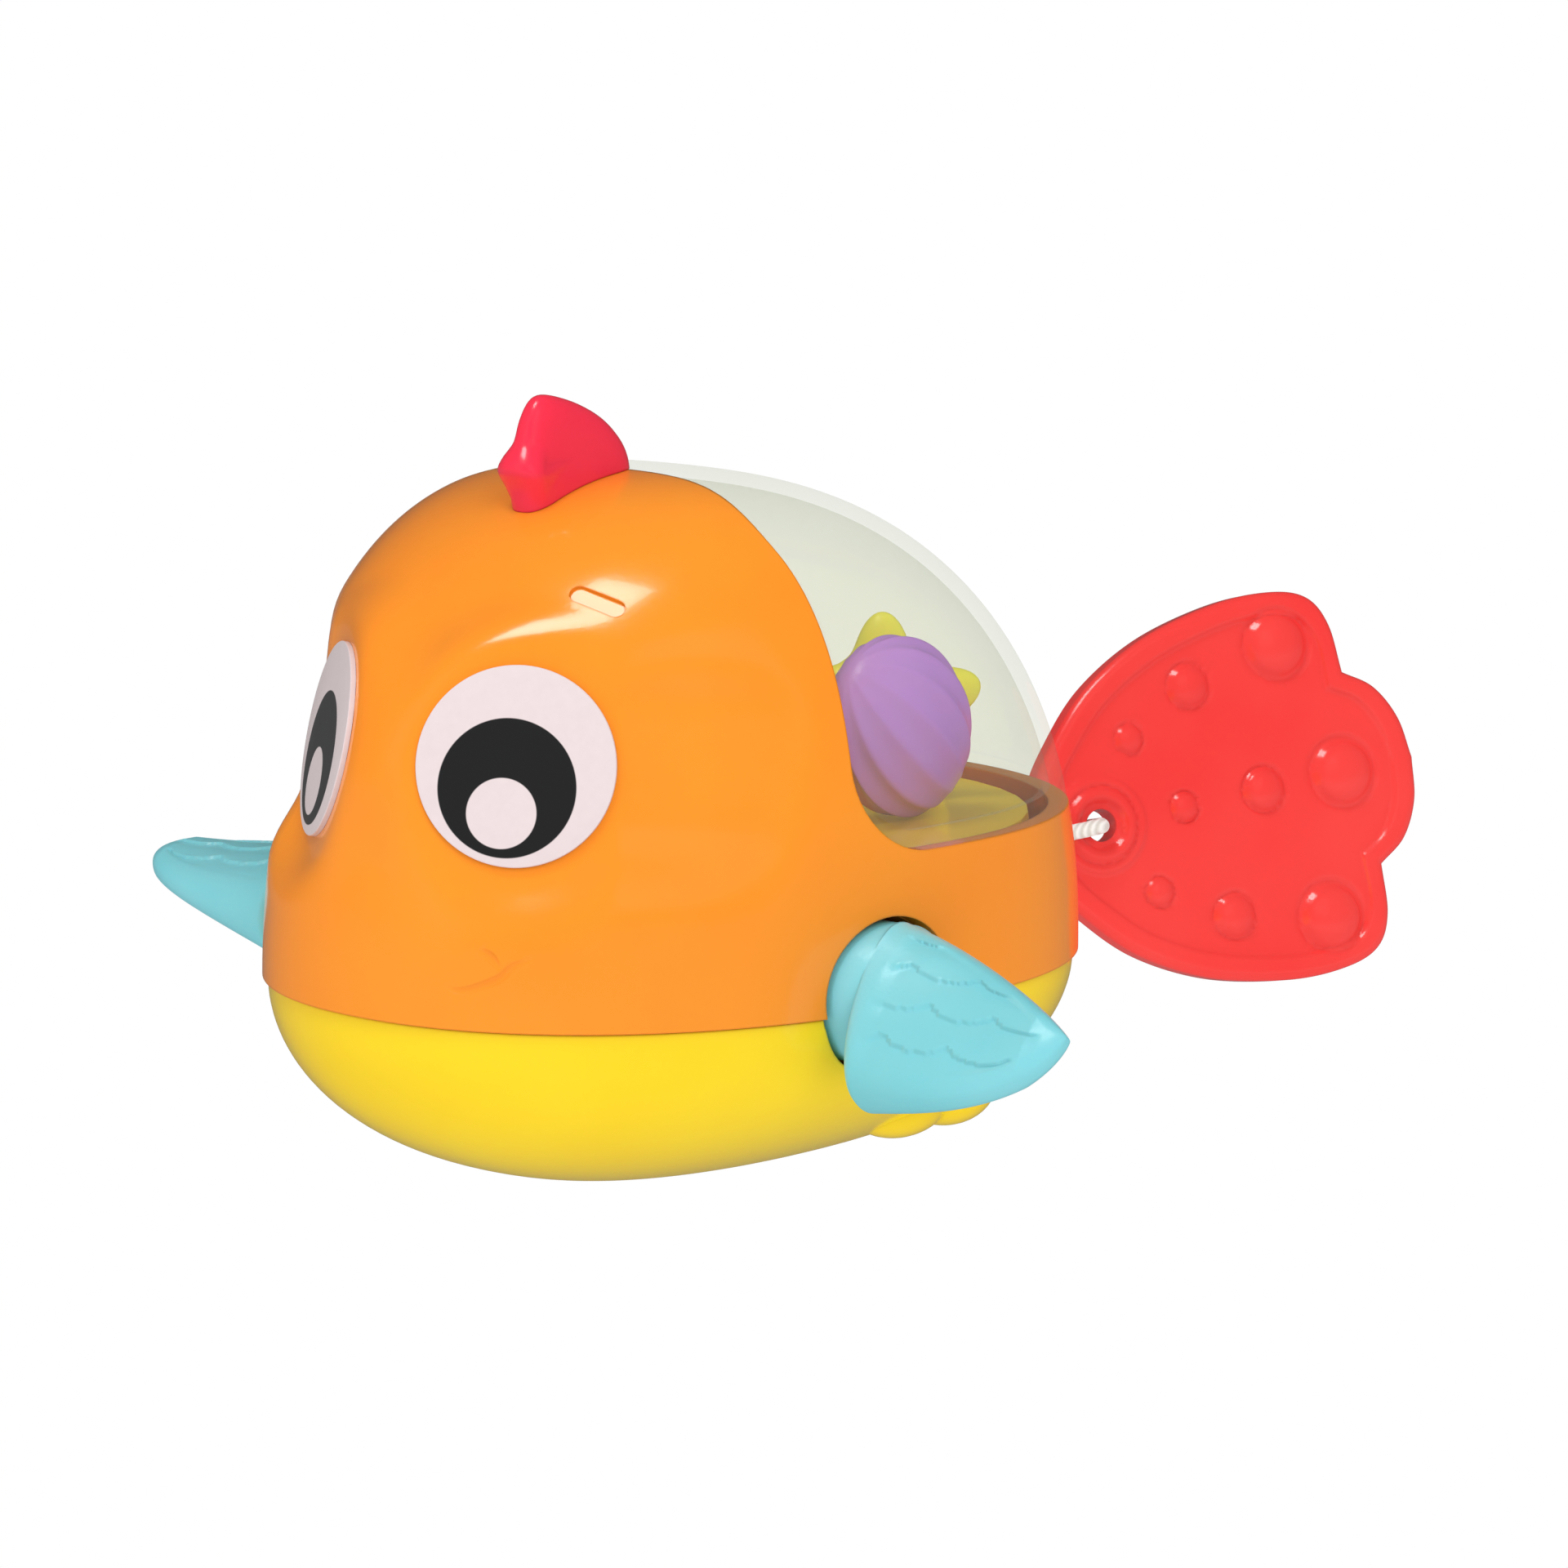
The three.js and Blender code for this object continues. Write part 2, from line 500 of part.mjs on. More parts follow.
// Tail: three-lobed paddle with an eye ring and nine rounded bumps on each face.
const TAIL_HALF_OUTLINE = [
  [-10, 0], [-8.6, 6.5], [-4.6, 12.2], [2, 18.6], [11.6, 23.6], [22.9, 26.2], [31.5, 26.3],
  [36.9, 24.6], [39.4, 20.4], [40, 13.5],
];
const TAIL_MIDDLE_LOBE = [[40, 13.5], [44.2, 10.6], [47, 5.8], [47.9, 0]];
const TAIL_BUMPS = [
  [30.8, 19, 3.9], [36.8, 0, 3.9], [30.8, -19, 3.9], [16.7, 16, 2.7], [24.7, 0, 2.7], [16.7, -16, 2.7],
  [6.5, 10.6, 1.8], [12.6, 0, 1.8], [6.5, -10.6, 1.8],
];
const tailSpline = (points, count) => new THREE.SplineCurve(points.map(([p, q]) => new THREE.Vector2(p, q)))
  .getPoints(count);
const tailTop = [...tailSpline(TAIL_HALF_OUTLINE, 22), ...tailSpline(TAIL_MIDDLE_LOBE, 8).slice(1)];
const tailBottom = tailTop.slice(1, -1).reverse().map(({ x, y }) => new THREE.Vector2(x, -y));
const tailShape = new THREE.Shape([...tailTop, ...tailBottom]);
const plate = new THREE.ExtrudeGeometry(tailShape, {
  depth: TAIL_THICKNESS - 2 * TAIL_BEVEL, bevelEnabled: true, bevelSize: TAIL_BEVEL,
  bevelOffset: -TAIL_BEVEL, bevelThickness: TAIL_BEVEL, bevelSegments: 2,
}).translate(0, 0, TAIL_BEVEL - TAIL_THICKNESS / 2);
const disc = (radius, thickness) => solid(new THREE.CylinderGeometry(radius, radius, thickness, 28)
  .rotateX(Math.PI / 2));
let paddle = solid(plate);
paddle = paddle.add(disc(TAIL_RING_RADIUS, TAIL_THICKNESS + 2 * TAIL_RING_HEIGHT));
for (const [p, q, radius] of TAIL_BUMPS) {
  for (const face of [1, -1]) {
    const bump = new THREE.SphereGeometry(radius, 8, 6).scale(1, 1, 0.6);
    paddle = paddle.add(solid(bump.translate(p, q, face * TAIL_THICKNESS / 2)));
  }
}
paddle = paddle.subtract(disc(TAIL_HOLE_RADIUS, 4 * TAIL_THICKNESS));

// The tail frame: its own length along local x, its height along local y, its left face local z.
const tailFrame = new THREE.Group();
const turn = radians(TAIL_TURN);
const lean = radians(TAIL_LEAN);
const pitch = radians(TAIL_PITCH);
const level = new THREE.Vector3(Math.sin(turn), Math.cos(turn), 0);
const face = new THREE.Vector3(Math.cos(turn), -Math.sin(turn), 0);
const upright = new THREE.Vector3(0, 0, Math.cos(lean)).addScaledVector(face, -Math.sin(lean));
const lengthAxis = level.clone().multiplyScalar(Math.cos(pitch)).addScaledVector(upright, Math.sin(pitch));
const heightAxis = upright.clone().multiplyScalar(Math.cos(pitch)).addScaledVector(level, -Math.sin(pitch));
const faceAxis = lengthAxis.clone().cross(heightAxis);
tailFrame.applyMatrix4(new THREE.Matrix4().makeBasis(lengthAxis, heightAxis, faceAxis)
  .setPosition(0, TAIL_EYE.behind, cordZ));
toy.add(tailFrame);
add('tail', paddle, plastic(0xf04844, 0.25), tailFrame);

// Cord loop through the eye and round the front edge of the tail, in front of the knot.
const loopInside = -TAIL_HALF_OUTLINE[0][0] + 2 * FIT + CORD_RADIUS;
const loopHalf = TAIL_THICKNESS / 2 + TAIL_RING_HEIGHT + FIT + CORD_RADIUS;
const loopPoints = Array.from({ length: 24 }, (_, i) => {
  const angle = (i / 24) * Math.PI * 2;
  const along = (loopInside / 2) * (signedPower(Math.cos(angle), 0.4) - 1);
  return new THREE.Vector3(along, 0, loopHalf * signedPower(Math.sin(angle), 0.75));
});
function closedTube(points, radius, sides) {
  const count = points.length;
  const corners = [];
  const faces = [];
  points.forEach((point, i) => {
    const along = points[(i + 1) % count].clone().sub(points[(i + count - 1) % count]).normalize();
    const upAxis = new THREE.Vector3(0, 1, 0);
    const out = along.clone().cross(upAxis);
    for (let k = 0; k < sides; k += 1) {
      const angle = (k / sides) * Math.PI * 2;
      corners.push(point.clone().addScaledVector(out, radius * Math.cos(angle))
        .addScaledVector(upAxis, radius * Math.sin(angle)));
      const a = i * sides + k;
      const b = i * sides + ((k + 1) % sides);
      const c = ((i + 1) % count) * sides + k;
      const d = ((i + 1) % count) * sides + ((k + 1) % sides);
      faces.push(a, b, c, b, d, c);
    }
  });
  const geometry = new THREE.BufferGeometry().setFromPoints(corners);
  geometry.setIndex(faces);
  return solid(geometry);
}
const cordWhite = plastic(0xf4f2ee, 0.8);
add('cord_loop', closedTube(loopPoints, CORD_RADIUS, 8), cordWhite, tailFrame);
const knotBack = loopInside + CORD_RADIUS + FIT + KNOT_RADIUS;
const knotPlace = lengthAxis.clone().multiplyScalar(-knotBack).add(tailFrame.position);
const knotBody = solid(new THREE.SphereGeometry(KNOT_RADIUS, 12, 8).translate(...knotPlace));
add('cord_knot', knotBody, cordWhite);

// Pull cord from the drum through the grommet to the knot, and the grommet in the stern wall.
const drumAngle = radians(DRUM_DROP);
const pinionToDrum = GEAR_MODULE * (TEETH.pinion + TEETH.drum) / 2;
const DRUM_Y = AXLE_Y + pinionToDrum * Math.cos(drumAngle);
const DRUM_Z = AXLE_Z - pinionToDrum * Math.sin(drumAngle);
const drumLeft = GEAR_LEFT - GEAR_WIDTH - FIT;
const drumRight = drumLeft - DRUM_LENGTH;
const windingMiddle = (drumLeft + drumRight) / 2;
const cordEnd = knotPlace.clone().add(new THREE.Vector3(0, -KNOT_RADIUS - FIT, 0));
const cordPath = new THREE.CatmullRomCurve3([
  new THREE.Vector3(windingMiddle, DRUM_Y + 10, cordZ),
  new THREE.Vector3(0, STERN_LENGTH - 6, cordZ),
  new THREE.Vector3(0, STERN_LENGTH + 3, cordZ),
  new THREE.Vector3(cordEnd.x * 0.6, THREE.MathUtils.lerp(STERN_LENGTH, cordEnd.y, 0.6), cordEnd.z - 0.4),
  cordEnd,
]);
const cordRound = new THREE.Shape().absarc(0, 0, CORD_RADIUS, 0, Math.PI * 2);
add('pull_cord', solid(new THREE.ExtrudeGeometry(cordRound, {
  steps: 12, curveSegments: 4, extrudePath: cordPath,
})), cordWhite);
const grommetLength = WALL + 2 * FIT + GROMMET.flangeThickness;
const grommetProfile = [
  [GROMMET.bore, 0], [GROMMET.barrel, 0], [GROMMET.barrel, grommetLength - GROMMET.flangeThickness],
  [GROMMET.flange, grommetLength - GROMMET.flangeThickness], [GROMMET.flange, grommetLength],
  [GROMMET.bore, grommetLength], [GROMMET.bore, 0],
].map(([r, y]) => new THREE.Vector2(r, y));
const grommet = new THREE.LatheGeometry(grommetProfile, 18);
grommet.translate(0, STERN_LENGTH + FIT + GROMMET.flangeThickness - grommetLength, cordZ);
add('cord_grommet', solid(grommet), plastic(0xe5822a, 0.4));

// Gears, turned so that the teeth of one face the gaps of the next.
function gear(teeth, boreRadius, x0, x1, y, z, phase) {
  const pitchRadius = GEAR_MODULE * teeth / 2;
  const outline = [];
  for (let i = 0; i < teeth; i += 1) {
    for (const [offset, radius] of [
      [-0.25, pitchRadius - 1.2 * GEAR_MODULE], [-0.11, pitchRadius + 0.85 * GEAR_MODULE],
      [0.11, pitchRadius + 0.85 * GEAR_MODULE], [0.25, pitchRadius - 1.2 * GEAR_MODULE],
    ]) {
      const angle = ((i + offset) / teeth) * Math.PI * 2 + phase;
      outline.push(new THREE.Vector2(-Math.cos(angle) * radius - y, Math.sin(angle) * radius + z));
    }
  }
  const wheel = sideExtrude(new THREE.Shape(outline), x0, x1);
  return wheel.subtract(bar(boreRadius, x0 - 1, x1 + 1, y, z));
}
// The phase that points a tooth, or with half a gap of turn, along a direction in the side view.
const phaseTowards = (dy, dz, teeth, half) => Math.atan2(dz, dy) + (half ? Math.PI / teeth : 0);
const whiteGear = plastic(0xe9e6df, 0.45);
const gearRight = GEAR_LEFT - GEAR_WIDTH;
const pinionPhase = phaseTowards(DRUM_Y - AXLE_Y, DRUM_Z - AXLE_Z, TEETH.pinion, false);
const drumPhase = phaseTowards(AXLE_Y - DRUM_Y, AXLE_Z - DRUM_Z, TEETH.drum, true);
const pinion = gear(TEETH.pinion, AXLE_RADIUS + FIT, gearRight, GEAR_LEFT, AXLE_Y, AXLE_Z, pinionPhase);
add('axle_pinion', pinion, whiteGear);
add('drum_gear', gear(
  TEETH.drum, SHAFT_RADIUS + RUNNING, gearRight, GEAR_LEFT, DRUM_Y, DRUM_Z, drumPhase), whiteGear);

// Cord drum with its winding, and the shaft held by the frame plates.
const drumBore = bar(SHAFT_RADIUS + RUNNING, drumRight - 1, drumLeft + 1, DRUM_Y, DRUM_Z);
const flangeLeft = bar(DRUM_FLANGE, drumLeft - DRUM_FLANGE_THICKNESS, drumLeft, DRUM_Y, DRUM_Z, 30);
const flangeRight = bar(DRUM_FLANGE, drumRight, drumRight + DRUM_FLANGE_THICKNESS, DRUM_Y, DRUM_Z, 30);
const drumCore = bar(DRUM_CORE, drumRight, drumLeft, DRUM_Y, DRUM_Z, 32);
add('cord_drum', drumCore.add(flangeLeft).add(flangeRight).subtract(drumBore), plastic(0xd9d4c8, 0.45));
const windingLeft = drumLeft - DRUM_FLANGE_THICKNESS - FIT;
const windingRight = drumRight + DRUM_FLANGE_THICKNESS + FIT;
const windingOuter = DRUM_CORE + FIT + 2 * CORD_RADIUS;
const winding = bar(windingOuter, windingRight, windingLeft, DRUM_Y, DRUM_Z, 30)
  .subtract(bar(DRUM_CORE + FIT, windingRight - 1, windingLeft + 1, DRUM_Y, DRUM_Z, 30));
add('cord_winding', winding, cordWhite);
const shaftEnd = FRAME_INSIDE + FRAME_THICKNESS + 1;
add('drum_shaft', bar(SHAFT_RADIUS, -shaftEnd, shaftEnd, DRUM_Y, DRUM_Z), metal(0xb8bcc2));

// Mainspring in its case, between the drum and the right frame plate.
const caseRight = -FRAME_INSIDE + FIT;
const caseLeft = caseRight + SPRING_CASE.length - SPRING_CASE.wall + FIT;
const caseBody = bar(SPRING_CASE.radius, caseRight, caseLeft, DRUM_Y, DRUM_Z, 30)
  .subtract(bar(
    SPRING_CASE.radius - SPRING_CASE.wall, caseRight + SPRING_CASE.wall, caseLeft + 1, DRUM_Y, DRUM_Z, 30))
  .subtract(bar(SHAFT_RADIUS + RUNNING, caseRight - 1, caseLeft + 1, DRUM_Y, DRUM_Z));
add('spring_case', caseBody, plastic(0x8a8a88, 0.5));
const springInner = SHAFT_RADIUS + 2 * RUNNING;
const springOuter = SPRING_CASE.radius - SPRING_CASE.wall - 2 * FIT;
const spiral = (offset) => Array.from({ length: SPRING_TURNS * 10 + 1 }, (_, i) => {
  const share = i / (SPRING_TURNS * 10);
  const angle = share * SPRING_TURNS * Math.PI * 2;
  const radius = THREE.MathUtils.lerp(springInner, springOuter, share) + offset;
  return new THREE.Vector2(-DRUM_Y + radius * Math.cos(angle), DRUM_Z + radius * Math.sin(angle));
});
const strip = new THREE.Shape([...spiral(0), ...spiral(0.4).reverse()]);
add('mainspring', sideExtrude(strip, caseRight + SPRING_CASE.wall + FIT, caseLeft - FIT), metal(0x6f7478));

// Gear frame: two plates with foot tabs, three spacers and four small screws into the hull.
const FRAME_OUTLINE = [
  [25, 15], [17, FRAME_FOOT_HEIGHT], [-19, FRAME_FOOT_HEIGHT], [-29, 17], [-29, FRAME_TOP], [25, FRAME_TOP],
];
const frameShape = new THREE.Shape(FRAME_OUTLINE.map(([f, z]) => new THREE.Vector2(f, z)));
const SPACERS = [[-19.5, 15], [21, 12.4], [26.3, 36.5]];
for (const [side, sign] of eyeSides) {
  const x0 = Math.min(sign * FRAME_INSIDE, sign * (FRAME_INSIDE + FRAME_THICKNESS));
  let flat = sideExtrude(frameShape, x0, x0 + FRAME_THICKNESS);
  for (const { x, y } of pedestals.filter((place) => place.x * sign > 0)) {
    const tab = new THREE.BoxGeometry(FOOT_TAB + 1, 7, FRAME_THICKNESS);
    tab.translate(x - sign * 0.5, y, FRAME_FOOT_HEIGHT + FRAME_THICKNESS / 2);
    const hole = post(SMALL_SCREW.shank + FIT, x, y, 0, FRAME_TOP);
    flat = flat.add(solid(tab)).subtract(hole);
  }
  flat = flat.subtract(bar(SHAFT_RADIUS + RUNNING, x0 - 1, x0 + 5, DRUM_Y, DRUM_Z));
  flat = flat.subtract(bar(AXLE_RADIUS + RUNNING, x0 - 1, x0 + 5, AXLE_Y, AXLE_Z));
  add(`gear_frame_${side}`, flat, plastic(0xc8c6bf, 0.5));
}
SPACERS.forEach(([y, z], i) => {
  const length = FRAME_INSIDE - FIT;
  add(`frame_spacer_${i + 1}`, bar(SPACER_RADIUS, -length, length, y, z, 16), metal(0xaeb2b8));
});
function screw({ head, headHeight, shank, length }) {
  const profile = [
    [0, 0], [head, 0], [head, headHeight], [shank, headHeight], [shank, length - 1.2], [0, length],
  ];
  return new THREE.LatheGeometry(profile.map(([r, y]) => new THREE.Vector2(r, y)), 10);
}
pedestals.forEach(({ x, y }, i) => {
  const body = screw(SMALL_SCREW).rotateX(-Math.PI / 2);
  body.translate(x, y, FRAME_FOOT_HEIGHT + FRAME_THICKNESS + FIT + SMALL_SCREW.headHeight);
  add(`frame_screw_${i + 1}`, solid(body), metal(0xb8bcc2));
});
hullScrews.forEach(({ x, y }, i) => {
  const body = screw(SCREW).rotateX(Math.PI / 2);
  body.translate(x, y, SCREW_SEAT - FIT - SCREW.headHeight);
  add(`hull_screw_${i + 1}`, solid(body), metal(0xb8bcc2));
});

// Sea creatures that stand loose on the tray: a ribbed scallop, a starfish and a small fish.
const standZ = trayTop + FIT;
function stand(geometry, x, y) {
  geometry.computeBoundingBox();
  return solid(geometry.translate(x, y, standZ - geometry.boundingBox.min.z));
}
const SCALLOP = { x: 26, y: 7, length: 25, width: 22, thickness: 13, tilt: 40 };
const shell = new THREE.SphereGeometry(0.5, 20, 14).scale(SCALLOP.thickness, SCALLOP.length, SCALLOP.width);
add('scallop', stand(shell.rotateX(radians(-SCALLOP.tilt)), SCALLOP.x, SCALLOP.y), plastic(0xba8fc8, 0.45));

const STARFISH = { x: 13.5, y: 18.5, radius: 13, waist: 8.4, thickness: 6, turn: 42 };
const rays = Array.from({ length: 30 }, (_, i) => {
  const angle = Math.PI / 2 + (i / 30) * Math.PI * 2;
  const swell = (0.5 + 0.5 * Math.cos(5 * (angle - Math.PI / 2))) ** 1.4;
  const radius = THREE.MathUtils.lerp(STARFISH.waist, STARFISH.radius, swell);
  return new THREE.Vector2(radius * Math.cos(angle), radius * Math.sin(angle));
});
const starBody = new THREE.ExtrudeGeometry(new THREE.Shape(rays), {
  depth: STARFISH.thickness - 4, bevelEnabled: true, bevelThickness: 2, bevelSize: 1.6, bevelOffset: -1.6,
  bevelSegments: 2,
}).translate(0, 0, 2 - STARFISH.thickness / 2);
starBody.rotateX(Math.PI / 2).rotateZ(radians(STARFISH.turn));
add('starfish', stand(starBody, STARFISH.x, STARFISH.y), plastic(0xded86e, 0.45));

const SMALL_FISH = { x: 4, y: -2, length: 18, height: 25, width: 11 };
const fishBody = new THREE.SphereGeometry(0.5, 18, 12)
  .scale(SMALL_FISH.width, SMALL_FISH.length, SMALL_FISH.height);
const fishTail = new THREE.CylinderGeometry(1.6, SMALL_FISH.height * 0.3, SMALL_FISH.length * 0.4, 16)
  .scale(0.4, 1, 1).translate(0, -SMALL_FISH.length * 0.6, 0);
fishTail.translate(SMALL_FISH.x, SMALL_FISH.y, standZ + SMALL_FISH.height / 2);
const fish = stand(fishBody, SMALL_FISH.x, SMALL_FISH.y).add(solid(fishTail));
add('teal_fish', fish, plastic(0x49c4c6, 0.45));

export default toy;
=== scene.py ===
import json
import math

import bmesh
import bpy
from mathutils import Matrix, Vector


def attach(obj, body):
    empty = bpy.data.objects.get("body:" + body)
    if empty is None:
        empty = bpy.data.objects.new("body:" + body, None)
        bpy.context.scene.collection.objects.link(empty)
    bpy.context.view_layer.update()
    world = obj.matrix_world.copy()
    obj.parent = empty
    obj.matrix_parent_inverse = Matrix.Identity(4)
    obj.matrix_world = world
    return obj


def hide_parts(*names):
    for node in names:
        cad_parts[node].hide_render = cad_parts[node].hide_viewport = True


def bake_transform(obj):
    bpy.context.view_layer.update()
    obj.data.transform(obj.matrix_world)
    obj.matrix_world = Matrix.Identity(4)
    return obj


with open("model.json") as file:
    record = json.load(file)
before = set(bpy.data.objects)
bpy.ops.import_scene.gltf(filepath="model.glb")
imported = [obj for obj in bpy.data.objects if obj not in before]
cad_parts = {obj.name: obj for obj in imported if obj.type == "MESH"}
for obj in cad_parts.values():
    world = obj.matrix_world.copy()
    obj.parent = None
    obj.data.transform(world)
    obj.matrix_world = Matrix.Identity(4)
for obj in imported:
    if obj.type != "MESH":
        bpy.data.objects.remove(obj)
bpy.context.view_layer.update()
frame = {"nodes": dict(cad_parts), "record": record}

# Camera
# The photograph looks at the fish from 42 degrees to its left of the nose and 11 degrees up.
# Fish coordinates are millimetres forward, left and up from the middle of the seam.
scene = bpy.context.scene
scene.view_settings.view_transform = "Standard"
SEAM = 26.1


def at(forward, left, up):
    return Vector((left, -forward, up + SEAM)) / 1000


azimuth, elevation = math.radians(42), math.radians(11)
towards = Vector((
    math.sin(azimuth) * math.cos(elevation), -math.cos(azimuth) * math.cos(elevation), math.sin(elevation)))
right = Vector((math.cos(azimuth), math.sin(azimuth), 0))
above = towards.cross(right)
camera = bpy.data.objects.new("camera", bpy.data.cameras.new("camera"))
scene.collection.objects.link(camera)
scene.camera = camera
camera.data.lens = 145.2
camera.data.sensor_width = 36
camera.data.clip_start = 0.05
camera.data.clip_end = 20
camera.location = at(0, 0, 0) + towards * 0.8
aim = right * 0.00997 + above * 0.02029 - towards * 0.8
camera.rotation_euler = aim.to_track_quat("-Z", "Y").to_euler()


# Materials
# Moulded plastics vary a little in tone and gloss and carry a faint orange peel. Edges are
# softened by a bevelled normal, because every moulded edge has a small radius.
def srgb(text):
    channels = [int(text[i:i + 2], 16) / 255 for i in (0, 2, 4)]
    return [v / 12.92 if v <= 0.04045 else ((v + 0.055) / 1.055) ** 2.4 for v in channels] + [1]


def put(tree, kind, links=None, **values):
    made = tree.nodes.new(kind)
    for key, value in values.items():
        if hasattr(made, key):
            setattr(made, key, value)
        else:
            made.inputs[key.replace("_", " ")].default_value = value
    for socket, source in (links or {}).items():
        tree.links.new(source, made.inputs[socket])
    return made


def two_tones(tree, factor, first, second):
    blend = put(tree, "ShaderNodeMix", {"Factor": factor}, data_type="RGBA")
    blend.inputs["A"].default_value = srgb(first)
    blend.inputs["B"].default_value = srgb(second)
    return blend.outputs["Result"]


def new_material(name):
    material = bpy.data.materials.new(name)
    material.use_nodes = True
    material.node_tree.nodes.remove(material.node_tree.nodes["Principled BSDF"])
    return material, material.node_tree, material.node_tree.nodes["Material Output"]


def plastic(name, tone, shade, roughness=0.2, glow=0.08, edge=0.0004, coat=0.4, peel=0.03):
    material, tree, output = new_material(name)
    place = put(tree, "ShaderNodeTexCoord")
    cloud = put(tree, "ShaderNodeTexNoise", {"Vector": place.outputs["Object"]}, Scale=38, Detail=3)
    grain = put(tree, "ShaderNodeTexNoise", {"Vector": place.outputs["Object"]}, Scale=1600, Detail=2)
    span = put(tree, "ShaderNodeMapRange", {"Value": cloud.outputs["Fac"]}, From_Min=0.3, From_Max=0.7)
    colour = two_tones(tree, span.outputs["Result"], tone, shade)
    gloss = put(
        tree, "ShaderNodeMapRange", {"Value": grain.outputs["Fac"]},
        To_Min=roughness - 0.03, To_Max=roughness + 0.05)
    rounded = put(tree, "ShaderNodeBevel", Radius=edge, samples=4)
    bump = put(
        tree, "ShaderNodeBump", {"Height": grain.outputs["Fac"], "Normal": rounded.outputs["Normal"]},
        Strength=peel, Distance=0.0004)
    shader = put(tree, "ShaderNodeBsdfPrincipled", {
        "Base Color": colour, "Roughness": gloss.outputs["Result"], "Normal": bump.outputs["Normal"],
    }, Coat_Weight=coat, Coat_Roughness=0.06, Subsurface_Weight=glow, Subsurface_Scale=0.004)
    tree.links.new(shader.outputs["BSDF"], output.inputs["Surface"])
    return material


def finish_piece(piece, body, material, *nodes, slot=None, angle=35):
    piece.data.materials.clear()
    piece.data.materials.append(material)
    piece.data.shade_smooth()
    piece.data.set_sharp_from_angle(angle=math.radians(angle))
    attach(piece, body)
    if nodes:
        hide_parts(*nodes)
    return piece


orange = plastic("orange_plastic", "f78d22", "f89426", roughness=0.17)
yellow = plastic("yellow_plastic", "fad008", "fbd616", roughness=0.2)
tray_yellow = plastic("tray_plastic", "ffd21a", "ffdb2e", roughness=0.3)
fin_teal = plastic("fin_plastic", "70c6cf", "80ccd5", roughness=0.34, coat=0.1, peel=0.08)
crest_red = plastic("crest_vinyl", "ec2441", "f2304b", roughness=0.24)
tail_red = plastic("tail_plastic", "ef3836", "f2433f", roughness=0.2)
purple = plastic("scallop_plastic", "be7fe4", "c98fea", roughness=0.35, coat=0.1)
star_yellow = plastic("starfish_plastic", "f0e83c", "f6ee58", roughness=0.4, coat=0.1)
small_teal = plastic("small_fish_plastic", "35bcbd", "4cc8c8", roughness=0.38, coat=0.1)
inner_orange = plastic("well_plastic", "d97f22", "e08a2c", roughness=0.4, coat=0)
gear_white = plastic("gear_plastic", "e2ded4", "ece9e1", roughness=0.42, coat=0)
frame_grey = plastic("frame_plastic", "bdbbb3", "c9c7c0", roughness=0.45, coat=0)
gasket_rubber = plastic("gasket_rubber", "b06a1a", "bb7420", roughness=0.7, coat=0, peel=0.2)
seal_rubber = plastic("seal_rubber", "262626", "303030", roughness=0.75, coat=0, peel=0.2)

# Turned steel shows fine rings round its axis.
steel, tree, output = new_material("turned_steel")
place = put(tree, "ShaderNodeTexCoord")
rings = put(tree, "ShaderNodeTexWave", {"Vector": place.outputs["Object"]}, Scale=900, Distortion=1.5)
gloss = put(tree, "ShaderNodeMapRange", {"Value": rings.outputs["Fac"]}, To_Min=0.22, To_Max=0.38)
shader = put(
    tree, "ShaderNodeBsdfPrincipled", {"Roughness": gloss.outputs["Result"]},
    Base_Color=srgb("b9bdc2"), Metallic=1.0)
tree.links.new(shader.outputs["BSDF"], output.inputs["Surface"])


# Cord
# A soft white twisted cord, 2.2 mm thick, from the drum through the stern to a knot before the
# tail. It pays out between the hull and the knot as the tail is pulled.
def cord_material():
    material, tree, output = new_material("twisted_cord")
    place = put(tree, "ShaderNodeTexCoord")
    turned = put(tree, "ShaderNodeMapping", {"Vector": place.outputs["Object"]}, Rotation=(0.6, 0.5, 0.7))
    strands = put(tree, "ShaderNodeTexWave", {"Vector": turned.outputs["Vector"]}, Scale=420, Distortion=0.6)
    fuzz = put(tree, "ShaderNodeTexNoise", {"Vector": place.outputs["Object"]}, Scale=5000)
    colour = two_tones(tree, strands.outputs["Fac"], "d9d4cc", "f8f6f2")
    height = put(
        tree, "ShaderNodeMath", {0: strands.outputs["Fac"], 1: fuzz.outputs["Fac"]}, operation="ADD")
    bump = put(tree, "ShaderNodeBump", {"Height": height.outputs["Value"]}, Strength=0.5, Distance=0.0003)
    shader = put(tree, "ShaderNodeBsdfPrincipled", {
        "Base Color": colour, "Normal": bump.outputs["Normal"],
    }, Roughness=0.8, Sheen_Weight=0.3)
    tree.links.new(shader.outputs["BSDF"], output.inputs["Surface"])
    return material


def mesh_piece(name, points, faces):
    mesh = bpy.data.meshes.new(name)
    mesh.from_pydata([Vector(p) / 1000 for p in points], [], faces)
    mesh.validate()
    builder = bmesh.new()
    builder.from_mesh(mesh)
    bmesh.ops.recalc_face_normals(builder, faces=builder.faces)
    builder.to_mesh(mesh)
    builder.free()
    piece = bpy.data.objects.new(name, mesh)
    scene.collection.objects.link(piece)
    return piece


def around_circle(count):
    return [2 * math.pi * k / count for k in range(count)]


def limited(value):
    return min(max(value, 0), 1)


def soft_step(value):
    t = limited(value)
    return t * t * (3 - 2 * t)


